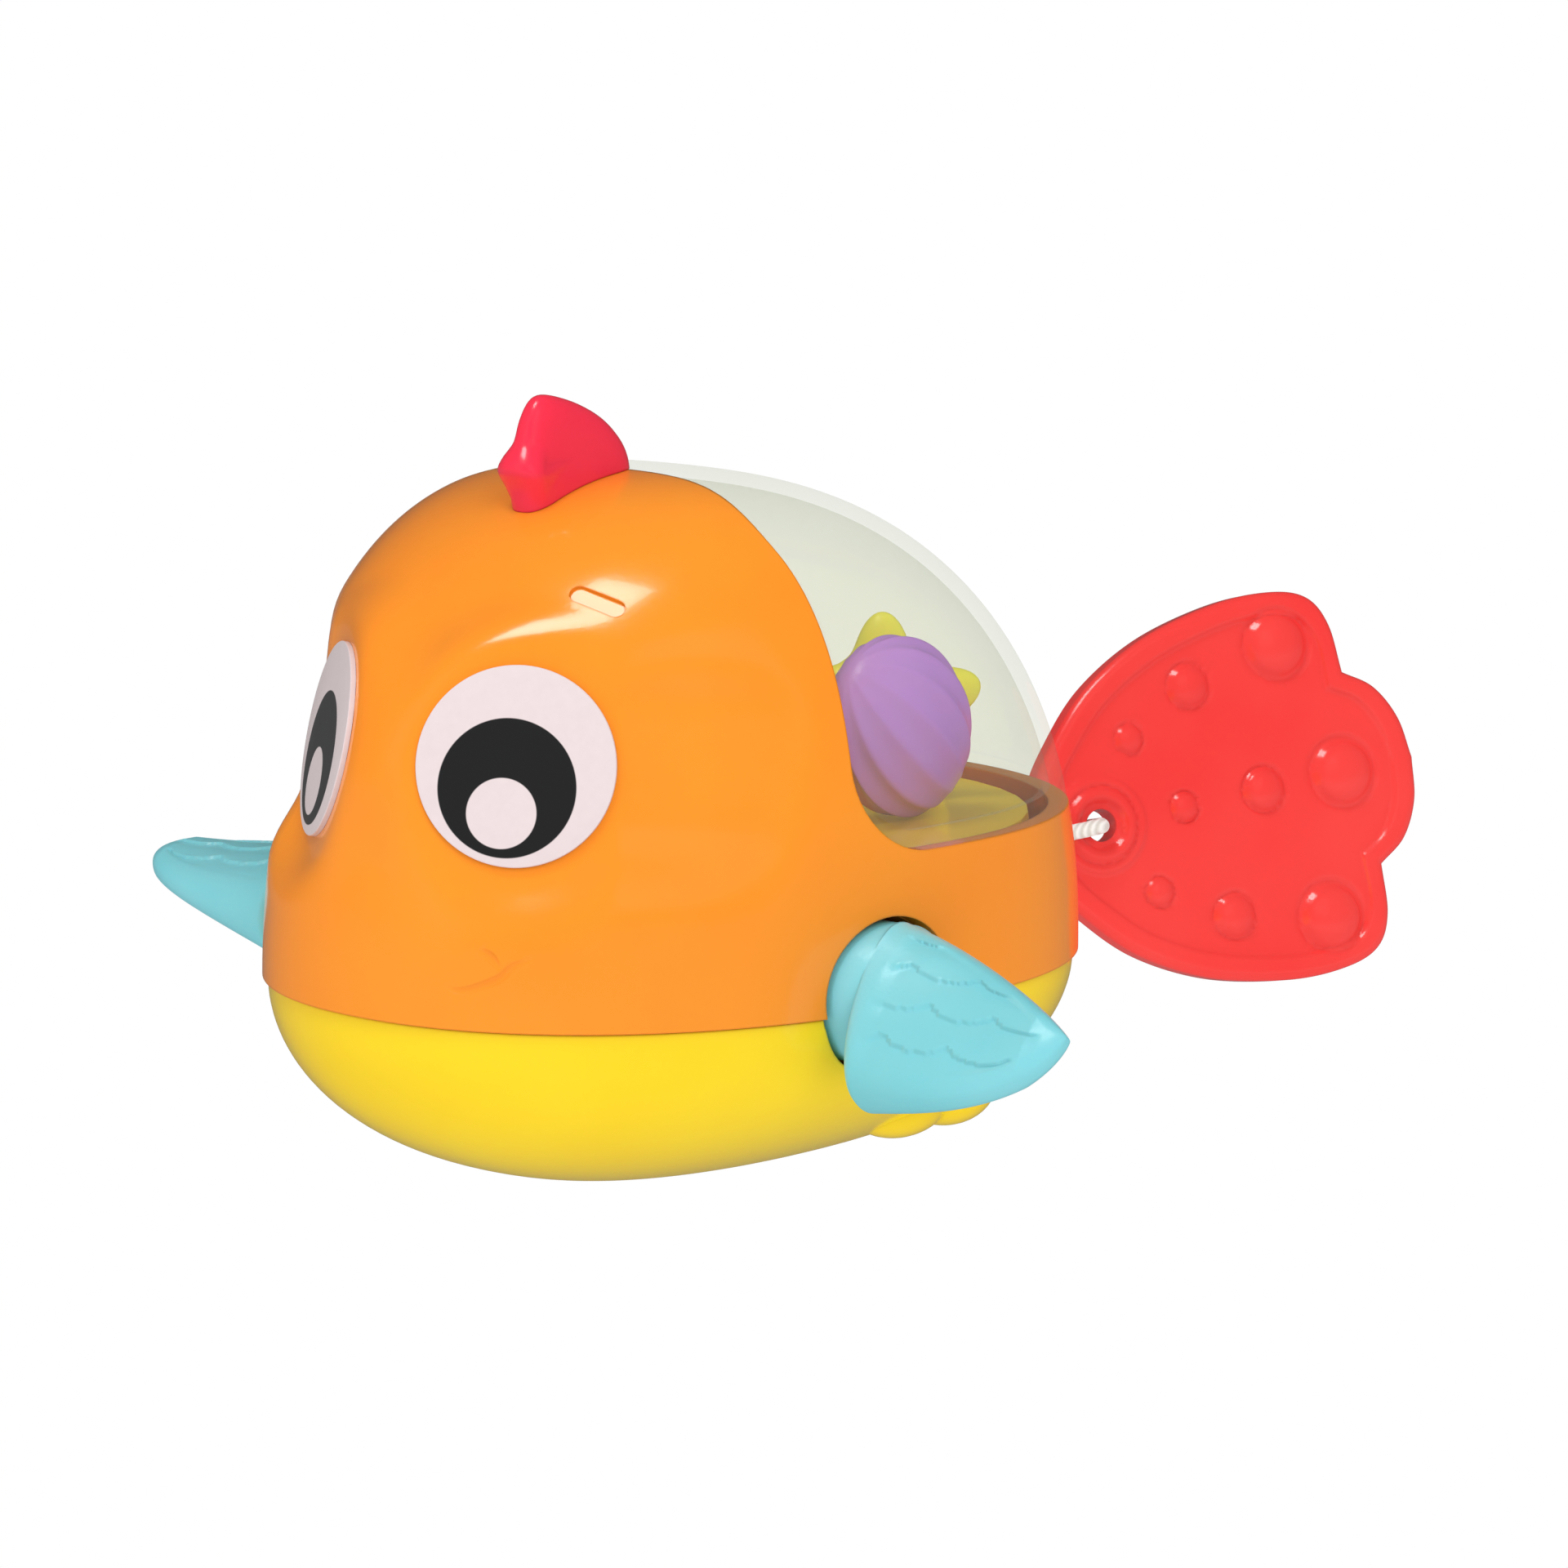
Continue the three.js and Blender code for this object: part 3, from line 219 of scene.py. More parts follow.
# A closed skin through rings of points, capped by fans; with around it closes on itself.
def skin(name, rings, around=False):
    sides = len(rings[0])
    points = [p for ring in rings for p in ring]
    faces = []
    spans = len(rings) if around else len(rings) - 1
    for level in range(spans):
        low, high = level * sides, ((level + 1) % len(rings)) * sides
        for i in range(sides):
            j = (i + 1) % sides
            faces.append((low + i, low + j, high + j, high + i))
    if not around:
        for ring, start in ((rings[0], 0), (rings[-1], (len(rings) - 1) * sides)):
            points.append(sum((Vector(p) for p in ring), Vector()) / sides)
            faces += [(start + i, start + (i + 1) % sides, len(points) - 1) for i in range(sides)]
    return mesh_piece(name, points, faces)


# Rings of a tube along a path, with a twisted outline of three strands.
def rope_rings(path, radius, strands=3, twist=0.9, sides=24):
    rings = []
    side = Vector((0, 0, 1))
    run = 0
    for i, point in enumerate(path):
        along = (path[min(i + 1, len(path) - 1)] - path[max(i - 1, 0)]).normalized()
        run += (point - path[i - 1]).length if i else 0
        across = along.cross(side).normalized()
        lift = across.cross(along).normalized()
        ring = []
        for angle in around_circle(sides):
            swell = radius * (0.9 + 0.1 * abs(math.cos(strands * (angle - twist * run) / 2)))
            ring.append(point + across * swell * math.cos(angle) + lift * swell * math.sin(angle))
        rings.append(ring)
    return rings


def through(points, steps):
    line = []
    ends = [points[0] * 2 - points[1], *points, points[-1] * 2 - points[-2]]
    for a, b, c, d in zip(ends, ends[1:], ends[2:], ends[3:]):
        for k in range(steps):
            t = k / steps
            line.append(0.5 * (
                2 * b + (c - a) * t + (2 * a - 5 * b + 4 * c - d) * t * t + (3 * b - a - 3 * c + d) * t ** 3))
    return [*line, points[-1]]


white_cord = cord_material()
KNOT = Vector((-6.85, 65.36, 28.79))
CORD_POINTS = [
    Vector((-3.4, 13.87, 30.9)), Vector((0, 39.8, 30.9)), Vector((0, 48.8, 30.9)),
    Vector((-4.1, 56.1, 28.4)), Vector((-6.85, 62.66, 28.79)),
]
cord_path = through(CORD_POINTS, 12)
pull_cord = skin("pull_cord_visual", rope_rings(cord_path, 1.1))
pull_cord.data.materials.append(white_cord)
pull_cord.data.shade_smooth()
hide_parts("pull_cord")
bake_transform(pull_cord)

# Knot
# An overhand knot: a rope closed round itself in a tight trefoil, which meets the cord's end.
knot_turn = Matrix.Rotation(math.radians(10), 3, "Z")
knot_path = []
for t in around_circle(72):
    knot_path.append(KNOT + 0.56 * knot_turn @ Vector((
        math.sin(t) + 2 * math.sin(2 * t), math.cos(t) - 2 * math.cos(2 * t), -1.6 * math.sin(3 * t))))
knot_rings = []
for i, point in enumerate(knot_path):
    along = (knot_path[(i + 1) % 72] - knot_path[i - 1]).normalized()
    across = along.cross(point - KNOT).normalized()
    lift = across.cross(along).normalized()
    knot_rings.append([
        point + (across * math.cos(a) + lift * math.sin(a)) * 0.93
        for a in around_circle(12)])
knot = skin("cord_knot_visual", knot_rings, around=True)
finish_piece(knot, "cord_end", white_cord, "cord_knot", slot="white_cord", angle=80)

# Body surfaces
# The shells are superellipse sections that narrow towards the crown and lean forwards. Inset
# shrinks a surface all over, and the flats for the eye labels are pressed into it with a soft rim.
NOSE, STERN, HALF_WIDTH, CROWN = 61.5, 45.8, 46, 62.2
NOSE_FALL, STERN_FALL, SIDE_FALL = 1.94, 2.38, 3.2
PLAN_POWER, CROWN_FRONT_POWER, CROWN_REAR_POWER = 2.16, 1.98, 2.22
CROWN_LEAN = 14
STEP = 0.7
WALL = 2.4
FIN_HOLE = 9.6
CORD_HEIGHT = 30.9
EYE_FLAT_RADIUS, EYE_BLEND = 12.3, 9
TEMPLE_SLOPE = 0.25
EYE_NORMALS = {
    sign: Vector((
        sign * math.sin(math.radians(35)) * math.cos(math.radians(12)),
        -math.cos(math.radians(35)) * math.cos(math.radians(12)), math.sin(math.radians(12))))
    for sign in (1, -1)}
EYE_SEATS = {sign: Vector((sign * 15.6, -50.6, SEAM + 30.8)) for sign in (1, -1)}


def fall(t, power):
    return (1 - t ** power) ** (1 / power) if t < 1 else 0


def signed(value, power):
    return math.copysign(abs(value) ** power, value)


def section(front, rear, side, front_power, rear_power, shift, z, count):
    ring = []
    for angle in around_circle(count):
        c, s = math.cos(angle), math.sin(angle)
        power = 2 / (front_power if c >= 0 else rear_power)
        reach = front if c >= 0 else rear
        ring.append(Vector((side * signed(s, power), -reach * signed(c, power) - shift, z)))
    return ring


def press_flats(point, inset):
    for sign, normal in EYE_NORMALS.items():
        offset = point - EYE_SEATS[sign]
        depth = offset.dot(normal) + inset
        outward = Vector((0, 0, 1)).cross(normal).normalized() * sign
        across, up = offset.dot(outward), offset.dot(normal.cross(outward)) * sign
        if -9 < depth < 9:
            rim = (math.hypot(across, up) - EYE_FLAT_RADIUS) / EYE_BLEND
            press = depth * (1 - soft_step(rim)) * min((depth + 9) / 5, 1)
            if 0 < across < 36:
                proud = max(depth + TEMPLE_SLOPE * max(across - 12, 0), 0)
                temple = proud * (1 - soft_step((abs(up) - 7) / 11)) * min(across / 8, 1)
                press = max(press, temple) if depth > 0 else press + temple
            point = point - normal * press
    return point


def upper_rings(inset, drop=0, count=176, levels=72, flats=False):
    rings = []
    for k in range(levels + 1):
        t = min(math.sin(k / levels * math.pi / 2), 0.9998)
        ring = section(
            (NOSE - inset) * fall(t, NOSE_FALL), (STERN - inset) * fall(t, STERN_FALL),
            (HALF_WIDTH - inset) * fall(t, SIDE_FALL),
            PLAN_POWER + (CROWN_FRONT_POWER - PLAN_POWER) * t,
            PLAN_POWER + (CROWN_REAR_POWER - PLAN_POWER) * t,
            CROWN_LEAN * t * t,
            SEAM + STEP - drop if k == 0 else SEAM + STEP * (1 - t) ** 6 + (CROWN - inset) * t, count)
        rings.append([press_flats(p, inset) for p in ring] if flats else ring)
    return rings


def lower_rings(inset, bottom, rise=0, count=176, levels=40):
    rings = []
    depth = 26.9 - inset
    for k in range(levels, -1, -1):
        t = (SEAM - bottom) / depth * math.sin(k / levels * math.pi / 2)
        rings.append(section(
            (60.8 - inset) * fall(t, 2.42), (45.1 - inset) * fall(t, 2.53), (45.3 - inset) * fall(t, 1.8),
            PLAN_POWER, PLAN_POWER, 0,
            SEAM - STEP + rise if k == 0 else SEAM - STEP * (1 - t) ** 6 - depth * t, count))
    return rings


def carve(piece, tool, operation="DIFFERENCE"):
    cut = piece.modifiers.new("cut", "BOOLEAN")
    cut.solver = "MANIFOLD"
    cut.operation = operation
    cut.object = tool
    mesh = bpy.data.meshes.new_from_object(piece.evaluated_get(bpy.context.evaluated_depsgraph_get()))
    piece.modifiers.clear()
    piece.data = mesh
    bpy.data.objects.remove(tool)
    return piece


# A side-view outline of (forward, height) points, pulled across the body from x0 to x1.
def slab(name, outline, x0, x1):
    return skin(name, [[(x, -f, z + SEAM) for f, z in outline] for x in (x0, x1)])


def arc(f, z, radius, start, end, steps=12):
    angles = [math.radians(start + (end - start) * k / steps) for k in range(steps + 1)]
    return [(f + radius * math.cos(a), z + radius * math.sin(a)) for a in angles]


def opening(grow):
    front, corner, crown = 21 + grow, 11 + grow, 8 + grow
    outline = [(-70, 18.9 - grow), *arc(front - corner, 18.9 - grow + corner, corner, -90, 0)]
    outline += [*arc(front - crown, 55, crown, 0, 90), (front - crown, 90), (-70, 90)]
    return slab("opening", outline, -60, 60)


def side_holes(radius):
    return slab("side_holes", arc(16.2, 1.9, radius, 0, 354.375, 63), -60, 60)


def stern_hole(radius):
    turn = around_circle(40)
    return skin("stern_hole", [
        [(radius * math.cos(a), y, CORD_HEIGHT + radius * math.sin(a)) for a in turn] for y in (30, 60)])


# Hood
# The orange hood has flats for the eyes, a slot and a faint smile on its left side, an arch on
# each side for the fins and the opening that the dome fills.
hood = skin("hood", upper_rings(0, drop=0.6, flats=True))
carve(hood, skin("hood_core", upper_rings(WALL, drop=6, flats=True)))
carve(hood, skin("gasket_room", [
    section(60.5, 44.8, 45, PLAN_POWER, PLAN_POWER, 0, SEAM + z, 176) for z in (-2, STEP)]))
carve(hood, opening(0))
carve(hood, side_holes(FIN_HOLE))
carve(hood, stern_hole(3.4))
SMILES = [
    [(53.2, 24.2, 9.6), (55.8, 20.4, 8.4), (57.2, 18.3, 6.4), (59.1, 13.9, 4.9), (60.0, 10.7, 6.3)],
    [(58.0, 15.5, 10.3), (57.2, 17.7, 9.1), (56.9, 18.9, 7.2)],
]


def body_height(point):
    f, l, z = -point.y, abs(point.x), point.z - SEAM
    t = z / CROWN
    n = PLAN_POWER + (CROWN_FRONT_POWER - PLAN_POWER) * t
    reach = ((f - CROWN_LEAN * t * t) / (NOSE * fall(t, NOSE_FALL))) ** n
    reach += (l / (HALF_WIDTH * fall(t, SIDE_FALL))) ** n
    return reach ** (1 / n)


for line in SMILES:
    settled = []
    for p in through([Vector((l, -f, z + SEAM)) for f, l, z in line], 8):
        flat = Vector((p.x, p.y, 0)) / body_height(p)
        settled.append(Vector((flat.x, flat.y, p.z)) + flat.normalized() * 0.5)
    rings = []
    for k, p in enumerate(settled):
        width = 0.75 * math.sin(math.pi * (0.12 + 0.76 * k / (len(settled) - 1)))
        along = (settled[min(k + 1, len(settled) - 1)] - settled[max(k - 1, 0)]).normalized()
        across = along.cross(Vector((p.x, p.y, 0)).normalized()).normalized()
        lift = across.cross(along).normalized()
        rings.append([
            p + (across * math.cos(a) + lift * math.sin(a)) * width
            for a in around_circle(12)])
    carve(hood, skin("smile", rings))
start, end = Vector((15, -40.8, 50.7 + SEAM)), Vector((22.5, -38.9, 48.5 + SEAM))
middle = (start + end) / 2
steps = [Vector((0.2 * (i == 0), 0.2 * (i == 1), 0.2 * (i == 2))) for i in range(3)]
normal = Vector([body_height(middle + step) - body_height(middle - step) for step in steps]).normalized()
middle += normal * (1 - body_height(middle)) * 40
across = normal.cross(end - start).normalized()
along = across.cross(normal)
outline = [middle + along * (u * 2.6 + 1.15 * math.cos(a)) + across * 1.15 * math.sin(a)
           for u, first in ((1, -90), (-1, 90))
           for a in (math.radians(first + 180 * k / 10) for k in range(11))]
carve(hood, skin("slot", [[p + normal * d for p in outline] for d in (-0.7, 3)]))
finish_piece(hood, "hull", orange, "upper_shell", slot="orange_shell", angle=32)

# Hull
# The yellow bowl has two overlapping petals low on each side, and screw wells underneath.
bowl = skin("bowl", lower_rings(0, 0, rise=0.6))
for left, forward, up, reach, turn in (
    (25, -8, 8.8, (6.5, 9.5, 5), 20), (25, -17.2, 8.9, (6.6, 9.2, 5), 35),
):
    for sign in (1, -1):
        spin = Matrix.Rotation(math.radians(sign * turn), 3, "Z")
        petal = []
        for k in range(1, 24):
            a = math.pi * k / 24
            petal.append([
                spin @ Vector((
                    reach[0] * math.sin(a) * math.cos(b), reach[1] * math.sin(a) * math.sin(b),
                    -reach[2] * math.cos(a))) + Vector((sign * left, -forward, up))
                for b in around_circle(48)])
        carve(bowl, skin("petal", petal), "UNION")
carve(bowl, skin("bowl_core", lower_rings(WALL, WALL, rise=6)))
carve(bowl, skin("gasket_room", [
    section(60.4, 44.7, 44.9, PLAN_POWER, PLAN_POWER, 0, SEAM + z, 176) for z in (-STEP, 2)]))
carve(bowl, side_holes(FIN_HOLE))
for left, forward in ((0, 36), (24, -24), (-24, -24)):
    turn = around_circle(32)
    boss = [[(left + 4 * math.cos(a), -forward + 4 * math.sin(a), z) for a in turn] for z in (2, 25.4)]
    carve(bowl, carve(skin("boss", boss), skin("room", lower_rings(1.2, 1.2)), "INTERSECT"), "UNION")
    for radius, low, high in ((3.2, -1, 18.1), (1.6, 10, 30)):
        carve(bowl, skin("screw_well", [
            [(left + radius * math.cos(a), -forward + radius * math.sin(a), z) for a in turn]
            for z in (low, high)]))
finish_piece(bowl, "hull", yellow, "lower_hull", slot="yellow_hull", angle=32)

# Dome
# Clear canopy, flush with the hood, with a thicker bead along its rim. Light passes straight
# through its thin wall; it is slightly green, a little hazy and shines at grazing angles.
def layer(outer, inner):
    return carve(skin("layer", upper_rings(outer)), skin("layer_core", upper_rings(inner, drop=6)))


dome = carve(layer(0.1, 1.8), opening(-0.12), "INTERSECT")
rim_band = carve(opening(-0.12), opening(-2.2))
carve(dome, carve(layer(0.1, 2.8), rim_band, "INTERSECT"), "UNION")
clear, tree, output = new_material("clear_plastic")
place = put(tree, "ShaderNodeTexCoord")
swirl = put(tree, "ShaderNodeTexNoise", {"Vector": place.outputs["Object"]}, Scale=60, Detail=1)
bump = put(tree, "ShaderNodeBump", {"Height": swirl.outputs["Fac"]}, Strength=0.04, Distance=0.001)
tint = two_tones(tree, swirl.outputs["Fac"], "fafbf6", "fcfdfa")
straight = put(tree, "ShaderNodeBsdfTransparent", {"Color": tint})
haze = put(tree, "ShaderNodeBsdfDiffuse", Color=srgb("e8ece4"))
gloss = put(tree, "ShaderNodeBsdfGlossy", {"Normal": bump.outputs["Normal"]}, Roughness=0.05)
facing = put(tree, "ShaderNodeLayerWeight", {"Normal": bump.outputs["Normal"]}, Blend=0.18)
grazing = put(tree, "ShaderNodeMapRange", {"Value": facing.outputs["Facing"]}, To_Min=0.02, To_Max=0.1)
hazy = put(tree, "ShaderNodeMixShader", {
    1: straight.outputs["BSDF"], 2: haze.outputs["BSDF"]}, Fac=0.04)
mixed = put(tree, "ShaderNodeMixShader", {
    0: grazing.outputs["Result"], 1: hazy.outputs["Shader"], 2: gloss.outputs["BSDF"]})
tree.links.new(mixed.outputs["Shader"], output.inputs["Surface"])
finish_piece(dome, "hull", clear, "clear_dome", slot="clear_dome", angle=32)

# Eye labels
# Each label is a printed disc with a dark pupil low and a round light in it, on its flat seat.
label_print, tree, output = new_material("eye_print")
place = put(tree, "ShaderNodeTexCoord")


def printed_disc(across, up, radius):
    shifted = put(tree, "ShaderNodeVectorMath", {0: place.outputs["Object"]}, operation="SUBTRACT")
    shifted.inputs[1].default_value = (across / 1000, up / 1000, 0)
    level = put(tree, "ShaderNodeVectorMath", {0: shifted.outputs["Vector"]}, operation="MULTIPLY")
    level.inputs[1].default_value = (1, 1, 0)
    length = put(tree, "ShaderNodeVectorMath", {0: level.outputs["Vector"]}, operation="LENGTH")
    inside = put(tree, "ShaderNodeMapRange", {"Value": length.outputs["Value"]})
    inside.inputs["From Min"].default_value = (radius + 0.06) / 1000
    inside.inputs["From Max"].default_value = (radius - 0.06) / 1000
    return inside.outputs["Result"]


paper = put(tree, "ShaderNodeTexNoise", {"Vector": place.outputs["Object"]}, Scale=900, Detail=3)
white = two_tones(tree, paper.outputs["Fac"], "d9c9ca", "dfd0d1")
ink = put(tree, "ShaderNodeMix", {
    "Factor": printed_disc(-1.0, -2.6, 8.3), "A": white}, data_type="RGBA")
ink.inputs["B"].default_value = srgb("1f1f20")
light = put(tree, "ShaderNodeMix", {
    "Factor": printed_disc(-1.6, -5.6, 4.2), "A": ink.outputs["Result"], "B": white},
    data_type="RGBA")
shader = put(tree, "ShaderNodeBsdfPrincipled", {"Base Color": light.outputs["Result"]},
             Roughness=0.32, Coat_Weight=0.25, Coat_Roughness=0.15)
tree.links.new(shader.outputs["BSDF"], output.inputs["Surface"])
for side, sign in (("left", 1), ("right", -1)):
    normal = EYE_NORMALS[sign]
    level = Vector((0, 0, 1)).cross(normal).normalized()
    raised = normal.cross(level)
    place_label = Matrix((level, raised, normal)).transposed().to_4x4()
    place_label.translation = EYE_SEATS[sign] / 1000
    rings = [
        [(r * math.cos(a), r * math.sin(a), d) for a in around_circle(96)]
        for r, d in ((12, 0.02), (12, 0.6), (11.92, 0.68), (11.8, 0.7), (6, 0.7))]
    label = skin(f"{side}_eye_print", rings)
    label.matrix_world = place_label
    finish_piece(label, "hull", label_print, f"{side}_eye_label", slot="eye_print")

# Crest
# Soft red head fin: a rounded blade behind a lower knob, with a crease between the two.
CREST = [
    (33.2, 58), (34, 61), (35.3, 63.3), (34.8, 64.8), (33.8, 66.2), (33.1, 67.6), (32.5, 69.4),
    (31.3, 71.3), (29.8, 72.1), (27.4, 71.8), (23.6, 70.6), (20, 68.8),
    (17.4, 66.6), (15.9, 64.4), (15.4, 62), (15.4, 58),
]
crest_line = through([Vector((f, z, 0)) for f, z in CREST], 4)
middle = Vector((26, 61, 0))
rings = []
for k in range(25):
    lateral = math.sin(math.pi * (k / 24 - 0.5))
    swell = max(1 - abs(lateral) ** 2.6, 0) ** (1 / 2.6)
    ring = []
    for p in crest_line:
        q = middle + (p - middle) * (0.62 + 0.38 * swell)
        height = limited((q.y - 60) / 12)
        knob = max(0, 1 - ((q.x - 34.2) / 3.2) ** 2) * max(0, 1 - ((q.y - 63) / 3.4) ** 2)
        half = (3.3 - 1.2 * height) * (0.7 + 0.3 * limited((35.4 - q.x) / 8)) + 1.3 * knob
        ring.append((lateral * half, -q.x, q.y + SEAM))
    rings.append(ring)
crest = skin("head_fin", rings)
carve(crest, skin("crown", upper_rings(-0.05)))
finish_piece(crest, "hull", crest_red, "crest", slot="red_crest", angle=50)

# Fins
# Each paddle is a thick swept blade on a round hub, with rows of overlapping scales on both
# faces and a step along its rim. The two stand at different pitches on one axle.
def fin(sign, pitch):
    rings = []
    for k in range(141):
        u = min(math.sin(math.pi / 2 * k / 140) ** 1.6, 0.998)
        root = 0.7 + 0.3 * math.sqrt(1 - (1 - min(u / 0.07, 1)) ** 2)
        lead = (4 + 11.5 * (1 - u ** 3) ** 0.5) * root
        trail = 4 - 11.8 * (1 - u ** 1.3) ** 0.9
        half = (2.6 + 6 * (1 - u) ** 1.6) * min(1, (1 - u) * 7 + 0.02) ** 0.5
        out = 46.6 + 29.9 * u
        ring = []
        for angle in around_circle(200):
            share = signed(math.cos(angle), 0.85)
            c = (lead + trail) / 2 + (lead - trail) / 2 * (share + 0.3 * (share * share - 1))
            row = round((c + 4.6) / 4.7)
            near = max(0, 1 - abs(c + 4.6 - 4.7 * row) / 2.35)
            lap = (c - 1.7 * near * abs(math.sin(math.pi * (out + 4.75 * (row % 2)) / 9.5)) + 5.3) / 4.7
            field = limited((c - trail - 1.5) / 0.8) * limited((lead - c - 2.2) / 0.8)
            field *= limited((out - 49) / 2) * limited((74 - out) / 1.5)
            relief = 0.4 * field * (1 - (lap - math.floor(lap)))
            n = 4.2 * u + half * signed(math.sin(angle), 0.85) - math.copysign(relief, math.sin(angle))
            ring.append((sign * out, -c, n))
        rings.append(ring)
    blade = skin("blade", rings)
    turn = around_circle(90)
    hub = [[(sign * x, r * math.cos(a), r * math.sin(a)) for a in turn]
           for x, r in ((38.3, 8.2), (38.9, 8.75), (46.4, 8.75), (47, 8.4))]
    carve(blade, skin("hub", hub), "UNION")
    bore = [[(sign * x, 2.3 * math.cos(a), 2.3 * math.sin(a)) for a in turn] for x in (37, 45.3)]
    carve(blade, skin("bore", bore))
    axle = Matrix.Translation((0, -0.0162, 0.028))
    blade.matrix_world = axle @ Matrix.Rotation(math.radians(pitch), 4, "X")
    return blade


for side, sign, pitch in (("left", 1, 47), ("right", -1, 3)):
    paddle = fin(sign, pitch)
    paddle.name = f"{side}_paddle"
    finish_piece(paddle, "fin_set", fin_teal, f"{side}_fin", slot="teal_fin", angle=40)

# Tail
# A flat three-lobed paddle with a raised rim, nine domed dots in round dishes and a ringed eye.
TAIL_UPPER = [
    (-10, 0), (-8.6, 6.5), (-4.6, 12.2), (2, 18.6), (11.6, 23.6), (22.9, 26.2), (31.5, 26.3),
    (36.9, 24.6), (39.4, 20.4), (40, 13.5),
]
TAIL_MIDDLE = [(40, 13.5), (44.2, 10.6), (46.9, 5.8), (47.8, 0)]
DOTS = [
    (30.8, 19, 4.25), (36.8, 0, 4.25), (30.8, -19, 4.25), (16.7, 16, 2.8), (24.7, 0, 2.8), (16.7, -16, 2.8),
    (6.5, 10.6, 1.9), (12.6, 0, 1.9), (6.5, -10.6, 1.9),
]
upper = through([Vector((p, q, 0)) for p, q in TAIL_UPPER], 12)
upper += through([Vector((p, q, 0)) for p, q in TAIL_MIDDLE], 12)[1:]
edge = upper + [Vector((p.x, -p.y, 0)) for p in upper[-2:0:-1]]
core = Vector((19, 0, 0))


def tail_height(p, q, inward):
    height = 2.5 if inward > 1.3 else 1.2 + 1.3 * math.sin(math.acos(1 - inward / 1.3))
    height -= 0.55 * soft_step((inward - 2.6) / 0.8)
    for a, b, r in DOTS:
        d = math.hypot(p - a, q - b)
        if d < r:
            height = 1.95 + 1.6 * r / 4.25 * (1 - (d / r) ** 2) ** 0.6
        elif d < r * 1.3:
            height -= 0.3 * math.sin(math.pi * (d - r) / (0.3 * r)) ** 2
    d = math.hypot(p, q)
    if d < 7:
        height = 1.95 + 1.0 * max(math.cos(math.pi * (d - 4.2) / 2.2), 0) ** 0.7
        height += 0.45 * max(math.cos(math.pi * (d - 6) / 1.6), 0) if d > 5.2 else 0
    return height


rings = []
for face in (1, -1):
    radii = [math.sin(math.pi / 2 * k / 90) for k in range(3, 91)]
    for r in radii if face == 1 else radii[::-1]:
        ring = []
        for p in edge:
            spot = core + (p - core) * r
            inward = (1 - r) * (p - core).length * 0.9
            ring.append((spot.x, spot.y, face * tail_height(spot.x, spot.y, inward)))
        rings.append(ring)
tail = skin("tail_paddle_visual", rings)
turn = around_circle(48)
carve(tail, skin("eye", [
    [(r * math.cos(a), r * math.sin(a), z) for a in turn]
    for z, r in ((-6, 4.9), (-2.9, 2.5), (-2.2, 2.2), (2.2, 2.2), (2.9, 2.5), (6, 4.9))]))
yaw, lean, pitch = math.radians(28.2), math.radians(12.2), math.radians(8)
level = Vector((math.sin(yaw), math.cos(yaw), 0))
face_way = Vector((math.cos(yaw), -math.sin(yaw), 0))
upright = Vector((0, 0, math.cos(lean))) - face_way * math.sin(lean)
length_axis = level * math.cos(pitch) + upright * math.sin(pitch)
height_axis = upright * math.cos(pitch) - level * math.sin(pitch)
tail_place = Matrix((length_axis, height_axis, length_axis.cross(height_axis))).transposed().to_4x4()
tail_place.translation = Vector((0, 79.1, CORD_HEIGHT)) / 1000
tail.matrix_world = tail_place
finish_piece(tail, "tail_paddle", tail_red, "tail", slot="red_tail", angle=40)

# Loop
# A ring of the same cord through the tail's eye and round its front edge.
loop_path = []
for a in around_circle(96):
    loop_path.append(Vector((
        5.85 * (signed(math.cos(a), 0.4) - 1), 0, 4.7 * signed(math.sin(a), 0.75))))
loop_rings = []
for i, point in enumerate(loop_path):
    along = (loop_path[(i + 1) % 96] - loop_path[i - 1]).normalized()
    lift = Vector((0, 1, 0))
    across = along.cross(lift).normalized()
    ring = []
    for a in around_circle(20):
        swell = 1.08 * (0.93 + 0.07 * abs(math.cos(1.5 * (a - i * 0.4))))
        ring.append(point + (across * math.cos(a) + lift * math.sin(a)) * swell)
    loop_rings.append(ring)
loop = skin("cord_loop_visual", loop_rings, around=True)
loop.matrix_world = tail_place
finish_piece(loop, "tail_paddle", white_cord, "cord_loop", slot="white_cord", angle=80)

# Sea creatures
# A ribbed scallop, a puffed starfish and a plump small fish stand loose on the tray.
turn = around_circle(144)
rings = []
for k in range(1, 64):
    a = math.pi * k / 64
    ribs = [1 - 0.07 * math.sin(a) ** 0.5 * abs(math.sin(7 * b)) for b in turn]
    rings.append([
        (6.5 * math.sin(a) * math.cos(b) * rib, -12.5 * math.cos(a), 11 * math.sin(a) * math.sin(b) * rib)
        for b, rib in zip(turn, ribs)])
scallop = skin("scallop_shell", rings)
scallop_place = Matrix.Translation((0.026, 0.007, 0.05595))
scallop.matrix_world = scallop_place @ Matrix.Rotation(math.radians(-40), 4, "X")
finish_piece(scallop, "scallop_piece", purple, "scallop", slot="purple", angle=60)

